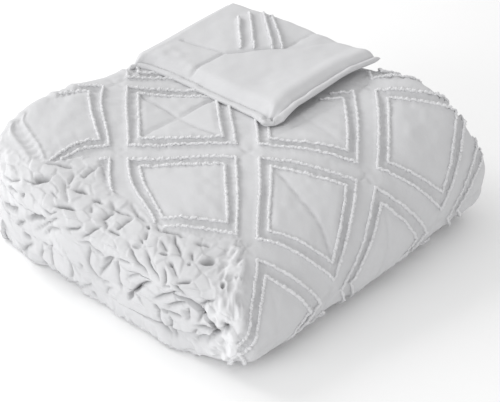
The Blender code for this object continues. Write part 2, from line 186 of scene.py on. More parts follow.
# the crumpled side: its upper edge on the bundle, its creases and its hollows
CRUMPLE_EDGE = (
    # points in the photo, in pixels, from the foot of the tall fold to the bundle's left corner
    (236, 360), (240, 342), (244, 296), (245, 279), (247, 261), (245, 251), (243, 239), (219, 237),
    (200, 236), (179, 231), (160, 224), (145, 215), (130, 199), (121, 195), (112, 188), (107, 178),
    (105, 168), (102, 158), (90, 155), (75, 158), (60, 160), (45, 160), (30, 156), (19, 151),
    (12, 150), (7, 133),
)
CREASES = (
    # how deep, from about 1 to 4, then its points in the photo, in pixels
    (2.6, ((46, 163), (54, 164), (62, 166), (70, 168), (75, 169))),
    (2.2, ((24, 180), (34, 184), (42, 181))),
    (2.0, ((66, 187), (71, 187))),
    (3.6, ((74, 190), (82, 191), (88, 195))),
    (3.6, ((55, 207), (63, 206), (70, 207), (77, 211))),
    (1.6, ((52, 193), (59, 199))),
    (1.4, ((65, 180), (67, 195), (68, 202))),
    (1.4, ((74, 173), (72, 180), (67, 186))),
    (2.0, ((80, 175), (85, 177), (90, 172), (97, 169))),
    (2.6, ((102, 162), (105, 172), (108, 180), (113, 190), (125, 196), (132, 200))),
    (2.4, ((93, 201), (98, 202), (103, 205))),
    (2.4, ((113, 203), (115, 209), (121, 212), (127, 214), (133, 218))),
    (3.2, ((133, 218), (126, 222), (120, 225), (117, 231))),
    (3.2, ((102, 221), (108, 215), (115, 213))),
    (2.4, ((103, 219), (106, 225), (105, 229))),
    (3.2, ((83, 238), (90, 233), (97, 228), (104, 226))),
    (3.2, ((108, 231), (114, 233), (121, 235))),
    (2.2, ((45, 208), (50, 214), (58, 212))),
    (2.2, ((51, 221), (59, 218))),
    (2.0, ((35, 230), (42, 226), (50, 223), (60, 219))),
    (2.4, ((45, 233), (52, 229), (61, 228))),
    (3.0, ((68, 229), (76, 229), (82, 226))),
    (1.8, ((92, 206), (91, 213))),
    (3.4, ((21, 250), (29, 246), (34, 242))),
    (2.4, ((43, 241), (49, 245))),
    (3.2, ((43, 243), (42, 252), (45, 262), (51, 269))),
    (3.2, ((53, 243), (51, 255), (54, 265), (58, 272), (62, 277))),
    (3.2, ((68, 256), (71, 262), (72, 270), (72, 279), (76, 284), (82, 287))),
    (2.0, ((79, 263), (84, 268))),
    (2.6, ((80, 240), (88, 243), (95, 248), (104, 255))),
    (3.4, ((89, 245), (89, 256), (88, 262), (91, 268), (97, 276), (101, 278))),
    (3.8, ((113, 256), (108, 264), (103, 270), (99, 274))),
    (3.4, ((118, 259), (118, 272), (119, 280), (122, 288))),
    (2.2, ((117, 259), (124, 261), (131, 264))),
    (1.8, ((104, 281), (110, 283))),
    (1.8, ((108, 295), (108, 288), (115, 287))),
    (2.4, ((80, 286), (88, 285), (93, 282))),
    (2.2, ((86, 287), (91, 291), (99, 297))),
    (2.8, ((131, 200), (135, 210), (140, 217), (147, 224))),
    (2.8, ((145, 206), (150, 214))),
    (3.0, ((150, 215), (154, 222), (158, 228), (163, 232))),
    (3.2, ((161, 231), (167, 231), (172, 232), (178, 234), (187, 237))),
    (2.6, ((172, 231), (175, 226), (182, 224))),
    (3.0, ((163, 211), (168, 214), (176, 217))),
    (2.4, ((192, 228), (200, 232))),
    (2.6, ((203, 226), (210, 223), (216, 221), (226, 220))),
    (2.8, ((212, 234), (225, 234), (240, 235))),
    (2.4, ((148, 232), (146, 241))),
    (2.6, ((127, 242), (132, 250), (133, 255), (137, 262), (144, 268), (150, 276))),
    (2.0, ((142, 238), (144, 244))),
    (3.0, ((147, 250), (149, 262), (153, 269), (157, 275), (160, 281))),
    (2.4, ((160, 241), (164, 246), (168, 253))),
    (3.2, ((174, 235), (176, 243), (179, 252), (181, 258))),
    (3.0, ((165, 267), (165, 276), (165, 286))),
    (2.0, ((163, 286), (171, 286))),
    (2.0, ((129, 277), (134, 276), (140, 273))),
    (2.4, ((170, 262), (175, 270), (178, 279))),
    (2.4, ((193, 253), (193, 262))),
    (2.4, ((195, 244), (205, 245), (212, 247))),
    (2.6, ((176, 285), (183, 282), (191, 280))),
    (2.4, ((176, 284), (180, 290), (187, 296))),
    (2.8, ((154, 299), (162, 296), (168, 294), (176, 292), (183, 292))),
    (3.8, ((129, 294), (136, 289), (143, 284), (151, 281))),
    (3.4, ((167, 308), (173, 304), (180, 302), (188, 301))),
    (3.8, ((195, 303), (205, 302), (213, 300), (218, 299))),
    (2.8, ((155, 304), (158, 310), (159, 318), (165, 326), (170, 332), (175, 337))),
    (3.0, ((167, 311), (174, 314), (181, 317))),
    (2.8, ((171, 315), (172, 322), (174, 330), (179, 337))),
    (2.8, ((188, 308), (187, 321))),
    (2.8, ((203, 306), (201, 315), (199, 323))),
    (4.2, ((194, 326), (205, 328), (215, 327), (225, 325), (231, 324))),
    (2.6, ((208, 341), (211, 336), (218, 333))),
    (2.4, ((196, 341), (195, 332), (197, 328))),
    (2.0, ((222, 343), (229, 341))),
    (2.2, ((20, 222), (26, 219))),
    (2.2, ((5, 176), (12, 182), (22, 180))),
)
HOLLOWS = (
    # middle in the photo, half its width and height in pixels, turn in degrees, depth in mm
    (43, 180, 8, 2.6, -8, 9),
    (13, 188, 4, 1.4, 10, 6),
    (23, 194, 2.4, 2.4, 0, 6),
    (12, 207, 7, 1.6, 12, 8),
    (81, 192, 6, 1.3, 6, 6),
    (66, 207, 8, 1.4, 8, 6),
    (98, 202, 3.5, 1.4, 0, 5),
    (38, 217, 9, 2.6, 0, 10),
    (29, 236, 3.2, 3, 0, 7),
    (21, 223, 3.5, 1.8, -30, 6),
    (108, 258, 4.5, 2, -35, 6),
    (149, 211, 1.4, 3.2, 0, 4),
    (165, 231, 3.5, 1.4, 0, 5),
    (150, 227, 2.4, 2.4, 0, 6),
    (137, 245, 4.5, 2.4, 0, 4),
    (163, 255, 4.5, 2, 0, 6),
    (172, 265, 2.5, 3, 0, 4),
    (190, 266, 2.2, 1.6, 0, 5),
    (208, 264, 8.2, 4.1, 0, 8),
    (185, 282, 5.5, 1.6, -15, 4),
    (138, 290, 6, 1.8, -25, 5),
    (131, 296, 3.5, 3.2, 0, 7),
    (158, 308, 1.5, 3.2, 0, 5),
    (165, 310, 2, 2.4, 0, 5),
    (187, 314, 2.4, 4.5, 0, 3),
    (201, 314, 2.4, 7, 10, 3),
    (227, 328, 4.5, 3, -20, 8),
    (223, 286, 2, 3.4, 20, 7),
)
NEAR_PART = 0.12  # how far round from the fold side a place in the photo can be
HOLLOW_LEAST = (0.0020, 0.0016)  # half its length and height
HOLLOW_SHARE = (0.85, 0.80)  # of what shows in the photo
SEEN_WITHIN = (1.6, 2.6, 4, 7, 12, 30)  # pixels
SKIN = 0.012  # a place in the photo is on the nearest layer of the cloth, this deep
MARKS_WITHIN, MARKS_SKIN = (2.2, 12), 0.020

# the crumple's relief: each size is a height or depth, then a reach or the size of its hills
BEND, BEND_SIZE = 0.0012, 0.009
GROOVE = 0.0014
GROOVE_LIT, GROOVE_DARK, GROOVE_WIDENS = 0.0007, 0.0008, 0.0002
# painted shade in the creases: the crease depth, from about 1 to 4, that gets full shade, and the width
# of the shaded line; then the deepest crease
CREASE_FULL_SHADE, CREASE_SHADE_WIDE, DEEPEST = 3.6, 0.0014, 4
PILLOW, PILLOW_REACH, PILLOW_SUNK = 0.0036, 0.0042, 0.0014
FACET_WIDE, FACET_TALL, FACET_SPREAD = 0.023, 0.017, 0.36
FACET_TILT = (0.12, 0.14)
FACET_EDGE, FACET_EDGE_WIDE = 0.0009, 0.0022
WAVY, WAVY_SIZE, FACET_SLANT = 0.003, 0.016, 0.25
GATHER, GATHER_STEP, GATHER_SIZE, GATHER_PATCH = 0.00015, 0.0095, 0.030, 0.035
RIDGE, RIDGE_SIZE = 0.0005, 0.011
RUFFLE, RUFFLE_SIZE = 0.0028, 0.0080
RUFFLE_RIDGE, RUFFLE_RIDGE_SIZE = 0.0034, 0.0060
# painted highlight on the ruffles: how much their raised parts are painted lighter
RUFFLE_HIGHLIGHT = 0.55
TORN, TORN_SIZE = 0.0028, 0.013
# the hollow depth that gets full painted shade
HOLLOW_FULL_SHADE = 0.009
LOW_ROUGH, LOW_PART = 1.2, (0.024, 0.006)
CREASE_ENDS, END_SHALLOW, DEPTH_SHALLOW = (-0.10, 0.26), 0.004, 0.0008
FACET_MIDDLE, FACET_SQUASH, FACET_FADE = 0.06, 1.25, 0.004
FACET_ROWS, FACET_COLUMNS = range(-1, 13), range(-11, 13)
RIGHT_RUFFLE, LEFT_RUFFLE, LEFT_RUFFLE_UP = (0.160, 0.185), (0.100, 0.125), (0.06, 0.10)
LEFT_SHARE, RUFFLE_TALL, RIDGE_TALL = 0.4, 0.6, 1.4
SLIT_WANDER, SLIT_WANDER_SIZE = 0.009, 0.055
SLITS_NEAR, SLITS_SHUT, SHUT_SHARE = (0.070, 0.012), (0.170, 0.130), 0.98
SHUT_FROM_FLOOR, SHUT_FROM_TOP = (0.004, 0.012), (0.004, 0.020)
CRUMPLE_FROM, CRUMPLE_FOOT = (0.040, 0.012), (-0.001, 0.005)
FOOT_SHARE = 0.02

# the turned-over corner, seen from above
FLAP_THICK = 0.0104
FLAP_REST = 0.0030
FLAP_LIFT = 0.0088
SIDE_HEM = (
    # x, y
    (-0.205, 0.020), (-0.1955, 0.026), (-0.1835, 0.034), (-0.1685, 0.042), (-0.150, 0.0465),
    (-0.1295, 0.050), (-0.1085, 0.0515), (-0.066, 0.0505), (-0.029, 0.050), (0.000, 0.047),
    (0.036, 0.038), (0.060, 0.030),
)
END_HEM = (
    # y, x
    (0.020, 0.016), (0.037, 0.023), (0.042, 0.031), (0.048, 0.037), (0.056, 0.0405), (0.070, 0.039),
    (0.0855, 0.037), (0.1195, 0.037), (0.1545, 0.038), (0.178, 0.042), (0.2095, 0.047), (0.230, 0.049),
)
FAR_EDGE = (
    # x, y
    (-0.210, 0.196), (-0.1875, 0.200), (-0.157, 0.204), (-0.1185, 0.209), (-0.077, 0.212),
    (-0.011, 0.2145), (0.0335, 0.210), (0.060, 0.206),
)
FLAP_SEAMS = (
    # depth, then its points: x, y in mm
    (1.0, ((-172, 103), (-140, 111), (-112, 117), (-98, 129))),
    (1.0, ((-114, 58), (-117, 81), (-112, 117), (-82, 148), (-63, 168), (-54, 213))),
    (0.4, ((-82, 148), (-45, 178), (-20, 190), (4, 203))),
    (0.5, ((-47, 176), (-22, 212))),
)
FLAP_ROWS = (
    # each row's two ends: x, y in mm
    ((-152, 177), (-102, 134)),
    ((-149, 192), (-89, 143)),
    ((-136, 202), (-71, 156)),
    ((-122, 203), (-63, 164)),
)
HEM_WIDE = 0.0085
SEWN_X, SEWN_Y = (-0.18, 0.03), (0.045, 0.212)  # where the stitches along each hem start and stop
TUFTS_RAISED, STITCHES_RAISED = 0.0010, 0.0002
TUFTS_FROM_FLOOR, TUFTS_ASTRAY = 0.008, 0.00020
TUFTS_IN_CRUMPLE, TUFTS_UNDER_CORNER = 0.45, 0.3  # the rows stop at these shares of each
TUFT_RAGGED = (0.75, 1.25)
TUFT_TURNS = ((-0.22, -0.22, -0.5), (0.22, 0.22, 0.5))  # radians, about its own x, y and z
TUFT_SIZES = ((0.8, 0.75, 0.7), (1.2, 1.25, 1.25))  # shares of its length, width and height
SQUARES = range(-5, 4)  # the tufted squares on each diagonal
AHEAD = 0.2  # diagonal lines, from a tuft to the place that it points at
HEM_THICK, HEM_FILL, END_FILL = 0.0052, 0.016, 0.028  # the filling starts this far inside the hems
ROLL_PART = (0.010, 0.005)
HEM_ROLL, SEWN_SIDE, SEWN_END, SEWN_WIDE = 0.0012, 0.0018, 0.0022, 0.0014
ROUND_SIDE, ROUND_END, ROUND_FAR = 0.0028, 0.0034, 0.0070  # how far in its edges are rounded
HEM_REST, REST_FROM, SWING_IN, LINE_UP = 0.0006, 0.030, (0.020, 0.012, 0.005), 0.037
SWING_X = 0.0015  # the corner turns back this far past the top layer's end
OUTLINE_BEFORE = 0.010  # the turn takes the corner's outline this far before it
SWING_SINKS = 0.4  # and its start sinks into the top layer by this share of its reach
LIFT_END, LIFT_SIDE, LIFT_FAR = 0.075, (0.004, 0.045), (0.215, 0.160)
LIFT_AT_SIDE, LIFT_AT_FAR, UNDER_AT_TURN, UNDER_FADE = 0.25, 0.35, 0.3, 0.06
CLOSE_STEPS = (0.0, 0.0003, 0.0010, 0.0020, 0.0034, 0.0052, 0.0067, 0.0077, 0.0085, 0.0093, 0.0103)
CORNER_STEP, CORNER_DEEP, CORNER_LONG, SWING_STEPS = 0.0019, 0.17, 0.22, 15
# its relief: each size is a height or depth, then a width or the size of its hills
CORNER_PUFF, CORNER_PUFF_REACH = 0.0030, 0.022
CORNER_SEAM, CORNER_SEAM_WIDE = 0.0022, 0.0018
CORNER_ROW, CORNER_ROW_WIDE = 0.0024, 0.0024
WRINKLED = (-0.150, 0.070, 0.030, 0.020)  # middle x and y, reach along x and y
WRINKLE, WRINKLE_SIZE = 0.0016, 0.010
CORNER_HILLS = ((0.0008, 0.030, 41), (0.0004, 0.012, 43))  # the last is the seed
TIP, TIP_REACH, TIP_RISE, TIP_GATHER, TIP_SIZE = (0.034, 0.040), 0.026, 0.0012, 0.0022, 0.014
HEM_HILLS, HEM_HILL_SIZE = 0.0008, 0.010
TIP_FOLDS, TIP_PART = 9, (0.002, 0.008)
CORNER_FADE, HEM_STARTS, HEM_STOPS = (0.007, 0.022), (0.0, 0.004), (0.016, 0.008)
FAINT_SEAM, SEAM_TAIL, TAIL_PART, ROW_ENDS = 0.005, 0.002, (0.7, 1.0), (-0.02, 0.10)


# small helpers
def ease(value, start, stop):
    """0 before start, 1 after stop, and smooth between."""
    t = np.clip((np.asarray(value, float) - start) / (stop - start), 0, 1)
    return t * t * (3 - 2 * t)


def hills(a, b, size, seed):
    """Smooth noise between -1 and 1 on two coordinates, with hills of about one size."""
    table = np.random.default_rng(seed).uniform(-1, 1, (HILL_TABLE, HILL_TABLE))
    a, b = np.asarray(a, float) / size, np.asarray(b, float) / size
    ia, ib = np.floor(a).astype(int), np.floor(b).astype(int)
    fa, fb = (f * f * (3 - 2 * f) for f in (a - ia, b - ib))
    a0, a1, b0, b1 = (at % HILL_TABLE for at in (ia, ia + 1, ib, ib + 1))
    near = table[a0, b0] * (1 - fa) + table[a1, b0] * fa
    far = table[a0, b1] * (1 - fa) + table[a1, b1] * fa
    return near * (1 - fb) + far * fb


def bump(distance, width):
    """A soft rounded bump or groove, 1 on its line."""
    return np.exp(-((distance / width) ** 2))


def step_lengths(points):
    """The distances between points that follow each other."""
    return np.linalg.norm(np.diff(points, axis=0), axis=1)


def walked(points):
    """How far along a line of points each one lies."""
    return np.concatenate([[0.0], np.cumsum(step_lengths(points))])


def along_line(p, q, line):
    """How far places are from a line, how far along it as a share, and how much on its lit side."""
    line = np.array(line)
    lengths = step_lengths(line)
    total, done = lengths.sum(), 0.0
    away = np.full(p.shape, 1.0)
    share, over = np.zeros(p.shape), np.zeros(p.shape)
    for (ap, aq), (bp, bq), length in zip(line[:-1], line[1:], lengths):
        t = ((p - ap) * (bp - ap) + (q - aq) * (bq - aq)) / length**2
        t = np.clip(t, 0, 1)
        dp, dq = p - ap - t * (bp - ap), q - aq - t * (bq - aq)
        d = np.hypot(dp, dq)
        across = np.array((aq - bq, bp - ap)) / length
        across = across * np.sign(across @ LIT_WAY)
        closer = d < away
        share = np.where(closer, (done + t * length) / total, share)
        lit = np.clip((dp * across[0] + dq * across[1]) / LIT_WIDE, -1, 1)
        over = np.where(closer, lit, over)
        away = np.minimum(away, d)
        done += length
    return away, share, over


def settle(p):
    """The whole bundle's crown, bulge and lean, the same for every layer. Its foot stays flat."""
    x, y, z = p[..., 0], p[..., 1], np.maximum(p[..., 2], 0)
    up = z / STACK
    u, v = x / HALF_X, y / HALF_Y
    rise = CROWN * (1 - CROWN_FALL * v * v)
    rise += LEAN_V * v + LEAN_UV * u * v + LEAN_U * u + LEAN_UU * u * u
    rise += FAR_ENDS * np.abs(u) * np.maximum(0, v) ** 2
    for high, at_x, at_y, reach_x, reach_y in SHOULDERS:
        rise += high * np.exp(-(((x - at_x) / reach_x) ** 2) - ((y - at_y) / reach_y) ** 2)
    for high, turns_x, turns_y, start in ROLLS:
        rise += high * np.sin(turns_x * x + turns_y * y + start)
    spread = np.clip(-x / SPREAD_X - 1, 0, 1) * np.clip(-y / SPREAD_Y, 0, 1)
    new_z = PRESSED * (z + up * rise)
    new_x = x + SWAY_X[0] * np.sin(SWAY_X[1] * y + SWAY_X[2]) * up + BULGE_X * u * (1 - v * v)
    new_x -= SPREAD * spread * spread * (3 - 2 * spread) + TWIST * v * np.maximum(0, -u)
    new_y = y + SWAY_Y[0] * np.sin(SWAY_Y[1] * x + SWAY_Y[2]) * up + BULGE_Y * v * (1 - u * u)
    new_y = PRESSED * new_y + FAR_BULGE * np.maximum(0, v) ** 2
    return np.stack([new_x, new_y, new_z], -1) - MIDDLE


def grid_normals(p, wrap):
    """Unit normals of a grid of points. Its second direction closes on itself if wrap is set."""
    along = np.gradient(p, axis=0)
    if wrap:
        over = np.roll(p, -1, 1) - np.roll(p, 1, 1)
    else:
        over = np.gradient(p, axis=1)
    n = np.cross(over, along)
    return n / np.maximum(np.linalg.norm(n, axis=-1, keepdims=True), 1e-12)


def mesh_object(name, points, faces, material, crease=None):
    """An object made of points and faces, smooth shaded, with each point's painted crease shade kept as
    an attribute.
    """
    lengths = [len(f) for f in faces]
    flat = np.concatenate([np.asarray(f) for f in faces])
    used, flat = np.unique(flat, return_inverse=True)
    faces = [f.tolist() for f in np.split(flat, np.cumsum(lengths)[:-1])]
    mesh = bpy.data.meshes.new(name)
    mesh.from_pydata(points[used].tolist(), [], faces)
    # each point's painted shade in the creases and hollows, which the cotton uses to darken its colour
    if crease is not None:
        attribute = mesh.attributes.new("crease", "FLOAT", "POINT")
        attribute.data.foreach_set("value", crease[used].astype(np.float32))
    mesh.validate()
    mesh.shade_smooth()
    mesh.materials.append(material)
    ob = bpy.data.objects.new(name, mesh)
    bpy.context.scene.collection.objects.link(ob)
    return ob


# the folded strip
def fold_curve(cx, cz, reach, up, down, power_up, power_down, start, stop):
    """A rounded fold from one angle to another, in degrees: 0 is its tip and 90 its top."""
    angles = np.radians(np.linspace(start, stop, FOLD_POINTS))
    c, s = np.cos(angles), np.sin(angles)
    high = np.where(s > 0, up, down)
    power = np.where(s > 0, power_up, power_down)
    x = cx + reach * np.abs(c) ** (2 / power)
    return np.stack([x, cz + high * np.sign(s) * np.abs(s) ** (2 / power)], 1)


def level(x0, x1, z):
    """A straight run at one height."""
    return np.stack([np.linspace(x0, x1, RUN_POINTS), np.full(RUN_POINTS, z)], 1)


def strip_path():
    """The strip's two sides at close stations, with each one's layer and place in the pattern."""
    (z0, z1), (z2, z3), (z4, z5), (z6, z7) = (row[:2] for row in LAYERS.values())
    inner, low, outer = TURNS.values()
    slit = 0.5 * GAP
    half = 0.5 * (z6 - z1)
    mirror = (-1, 1)
    inner_a = fold_curve(inner[0], 0.5 * (z3 + z4), inner[7], slit, slit, ROUND, ROUND, 90, -90)
    inner_b = fold_curve(*inner[:7], 90, -90)
    low_a = fold_curve(-low[0], *low[1:7], 90, -90) * mirror
    low_b = fold_curve(-low[0], 0.5 * (z1 + z2), low[7], slit, slit, ROUND, ROUND, 90, -90) * mirror
    outer_a = fold_curve(*outer[:7], -90, 90)
    power = SIDE_POWER
    outer_b = fold_curve(outer[0], 0.5 * (z1 + z6), outer[7], half, half, power, power, -90, 90)
    top_end = outer[0] - TOP_CELLS * CELL
    parts = (
        ("third", level(FREE_END, inner[0], z4), level(FREE_END + FREE_SLOPE, inner[0], z5)),
        ("inner turn", inner_a, inner_b),
        ("second", level(inner[0], low[0], z3), level(inner[0], low[0], z2)),
        ("low turn", low_a, low_b),
        ("bottom", level(low[0], outer[0], z0), level(low[0], outer[0], z1)),
        ("outer turn", outer_a, outer_b),
        ("top", level(outer[0], top_end, z7), level(outer[0], top_end + TOP_SLOPE, z6)),
    )
    rows_a, rows_b, names, grid = [], [], [], []
    for at, (name, side_a, side_b) in enumerate(parts):
        longer = max((side_a, side_b), key=lambda side: step_lengths(side).sum())
        along = walked(side_a if name in PATTERNED else longer)
        steps = BLOCK * max(1, round(along[-1] / STEP / BLOCK))
        wanted = np.linspace(0.0, along[-1], steps + 1)[min(at, 1) :]
        share = np.interp(wanted, along, np.arange(len(along)))
        for rows, side in ((rows_a, side_a), (rows_b, side_b)):
            rows.append(np.stack([np.interp(share, np.arange(len(side)), side[:, k]) for k in (0, 1)], 1))
        names += [name] * len(wanted)
        if name == "top":
            grid.append(wanted / CELL - 1 - TOP_SQUARE[0])
        elif name == "outer turn":
            grid.append(-1 - NOSE_CELLS * (1 - wanted / along[-1]) - TOP_SQUARE[0])
        else:
            grid.append(np.full(len(wanted), -1.0 - NOSE_CELLS - TOP_SQUARE[0]))
    return np.concatenate(rows_a), np.concatenate(rows_b), np.array(names), np.concatenate(grid)


def strip_sides(rows_a, names):
    """Each station's reach to -Y and +Y, its tip's share and the depth of its sides a and b."""
    layer_of = {"inner turn": "third", "low turn": "second"}
    nose = np.flatnonzero(names == "outer turn")
    low, high = LAYERS["bottom"], LAYERS["top"]
    out = []
    for at, name in enumerate(names):
        x = rows_a[at][0]
        apart = SLIT_LEAST + (1 - SLIT_LEAST) * ease(abs(x), *SLIT_OPENS)
        if name == "outer turn":
            share = (at - nose[0] + 1) / len(nose)
            part = 0.5 - 0.5 * math.cos(math.pi * share)
            inset, tip, deep_a, deep_b = (low[k] + (high[k] - low[k]) * part for k in range(2, 6))
            apex = math.sin(math.pi * share)
            deep_a += (NOSE_DEPTH - deep_a) * apex**2
            deep_b *= apart
            inset = inset * apart + NOSE_INSET * apex**3
        else:
            inset, tip, deep_a, deep_b = LAYERS[layer_of.get(name, name)][2:]
            deep_a *= apart if name not in ("top", "bottom") else 1.0
            deep_b *= apart
            inset *= apart
            if name == "bottom":
                inset += FOOT_INSET * ease(-x, *FOOT_DRAWN)
        corner = LEFT_CORNER * max(0.0, (-x - LEFT_START) / LEFT_REACH) ** 2.0
        ends = min(at, len(names) - 1 - at) * STEP
        corner += END_CORNER * max(0.0, 1 - ends / END_REACH) ** 2
        wave = WAVES[0][0] * math.sin(WAVES[0][1] * x + LAYER_TURN * inset)
        wave += WAVES[1][0] * math.sin(WAVES[1][1] * x + 1.0)
        out.append((-HALF_Y + inset + corner + wave, HALF_Y - inset - corner, tip, deep_a, deep_b))
    return np.array(out)


def outline_at(low, high, tip, deep_a, deep_b):
    """One station's outline: each point's share of the thickness from side a, and its y."""
    power = 2 / SIDE_POWER
    far_deep = FAR_SHARE * deep_a

    def rounding(steps):
        turn = np.linspace(0, math.pi / 2, steps + 1)
        return np.sin(turn) ** power, 1 - np.cos(turn) ** power

    wide = np.linspace(0, 1, FACE + 1)
    far_a, far_b, near_a, near_b = (rounding(n) for n in (*FAR_SIDE, *NEAR_SIDE))
    share = [
        np.zeros(FACE),
        tip * far_a[1][:-1],
        (1 - (1 - tip) * far_b[1])[:0:-1],
        np.ones(FACE),
        (1 - (1 - tip) * near_b[1])[:-1],
        (tip * near_a[1])[:0:-1],
    ]
    y = [
        (low + deep_a + (high - low - deep_a - far_deep) * wide)[:-1],
        (high - far_deep + far_deep * far_a[0])[:-1],
        (high - deep_b + deep_b * far_b[0])[:0:-1],
        (high - deep_b - (high - low - 2 * deep_b) * wide)[:-1],
        (low + deep_b - deep_b * near_b[0])[:-1],
        (low + deep_a - deep_a * near_a[0])[:0:-1],
    ]
    return np.concatenate(share), np.concatenate(y)


def askew_terms(u, v, reach=None):
    """The terms of the trellis's shift: a cubic in the two diagonals, and a soft bump at each knot."""
    bumps = [np.exp(-((u - at_u) ** 2 + (v - at_v) ** 2) / KNOT_REACH**2) for at_u, at_v in ASKEW_KNOTS]
    if reach:
        u, v = np.clip(u, *reach[0]), np.clip(v, *reach[1])
    u, v = u / ASKEW_UNIT, v / ASKEW_UNIT
    cubic = (1 + 0 * u, u, v, u * u, u * v, v * v, u**3, u * u * v, u * v * v, v**3)
    return [*cubic, *bumps]


@cache
def askew_shares():
    """How much of each term shifts the trellis along its two diagonals, from the marks in the photo."""
    view = cloth_in_photo()
    rows, shifts = [], []
    for mark_u, mark_v, x, y in ASKEW_MARKS:
        at = seen_at(x, y, view, view["patterned"], MARKS_WITHIN, MARKS_SKIN)
        i, j = view["i"][at], view["j"][at]
        rows.append(askew_terms(i + j, i - j))
        shifts.append((mark_u - i - j, mark_v - i + j))
    rows, shifts = np.array(rows), np.array(shifts)
    stiff = np.diag([*ASKEW_STIFF, *[KNOT_STIFF] * len(ASKEW_KNOTS)])
    return np.linalg.solve(rows.T @ rows + stiff, rows.T @ shifts).T


def skew(u, v):
    """How far the trellis is shifted at a place, along its two diagonals."""
    terms = askew_terms(u, v, ASKEW_REACH)
    return [sum(k * term for k, term in zip(shares, terms)) for shares in askew_shares()]


def pattern_at(i, j):
    """The trellis's own grid steps at a place on the bundle."""
    u, v = i + j, i - j
    by_u, by_v = skew(u, v)
    u, v = u + by_u, v + by_v
    return 0.5 * (u + v), 0.5 * (u - v)


def place_of(i, j):
    """The place on the bundle of a point of the trellis."""
    want_u, want_v = i + j, i - j
    u, v = want_u, want_v
    for _ in range(80):
        by_u, by_v = skew(u, v)
        u, v = u + 0.5 * (want_u - by_u - u), v + 0.5 * (want_v - by_v - v)
    return 0.5 * (u + v), 0.5 * (u - v)


def quilting(i, j, clear_i, clear_j):
    """Height of the sewn seams, puffed pockets and drawn-in tufted bands, in metres.

    i and j count grid steps from a tufted square's middle.
    """
    sizes = bpy.context.scene.blanket_cloth
    u, v = i + j, i - j
    turn_u, turn_v = np.round(u / LINES), np.round(v / LINES)
    u, v = np.abs(u - LINES * turn_u), np.abs(v - LINES * turn_v)
    ring = np.maximum(u, v)
    a, b = i * CELL, j * CELL
    middle = (ring - 0.5 * (OUTER + INNER)) * DIAGONAL
    row = sum(bump((ring - at) * DIAGONAL, ROW_WIDE) for at in (OUTER, INNER))
    height = sizes.tuft_rise * row * (1 + RAGGED * hills(a, b, RAGGED_SIZE, 3))
    height -= CHANNEL * bump(middle, CHANNEL_WIDE)
    along = np.where(u > v, v, u) * DIAGONAL
    pucker = np.sin(along * 2 * math.pi / PUCKER_STEP + 3 * hills(a, b, PUCKER_SIZE, 5))
    height += PUCKER * pucker * bump(middle, PUCKER_BAND)
    seam_i = np.abs((i + POCKET / 2) % POCKET - POCKET / 2) * CELL
    seam_j = np.abs((j + POCKET / 2) % POCKET - POCKET / 2) * CELL
    half = 0.5 * POCKET * CELL
    open_band = ease(ring, OUTER + BAND_PART[0], OUTER + BAND_PART[1])
    in_square = ease(ring, INNER + SQUARE_PART[0], INNER + SQUARE_PART[1])
    strength = np.maximum(clear_i, clear_j)
    seam, puff = 0.0, 1.0
    for away, clear in ((seam_i, clear_i), (seam_j, clear_j)):
        shown = np.maximum(clear * in_square, BAND_SEAM * open_band)
        seam = np.maximum(seam, bump(away, SEAM_WIDE) * shown)
        puff = puff * (1 - clear * (1 - np.sin(0.5 * math.pi * away / half)))
    puff = np.sqrt(np.clip(puff, 0, 1))
    dome = np.clip(1 - (ring / INNER) ** 2, 0, 1) ** 0.5
    inside = ease(ring, INNER + PUFF_PART[0], INNER + PUFF_PART[1])
    height += sizes.pocket_puff * inside * (strength * puff + (1 - strength) * DOME * dome)
    height -= sizes.seam_depth * seam
    (high, wide), (low, narrow) = CLOTH_HILLS
    return height + high * hills(a, b, wide, 8) + low * hills(a + b, a - b, narrow, 9)


def seam_strength(i, j):
    """How clear the two crossed seams are in each tufted square."""
    u, v = np.round((i + j) / LINES), np.round((i - j) / LINES)
    clear_i = PLAIN_SEAMS + SEAM_CHANGE * np.sin(3.1 * u + 1.7 * v)
    clear_j = clear_i
    for at_u, at_v, along_i, along_j in CLEAR_SEAMS:
        here = (u == at_u) & (v == at_v)
        clear_i = np.where(here, along_i, clear_i)
        clear_j = np.where(here, along_j, clear_j)
    return clear_i, clear_j


def side_place(points, share, sides, outward):
    """Each point's place on the crumpled side laid flat: along it, and up it."""
    back = np.maximum(points[..., 1] - sides[:, 0:1], 0) * np.where(share < sides[:, 2:3], 0.9, -0.9)
    return points[..., 0] + back * outward[:, 0:1], points[..., 2] + back * outward[:, 1:2]


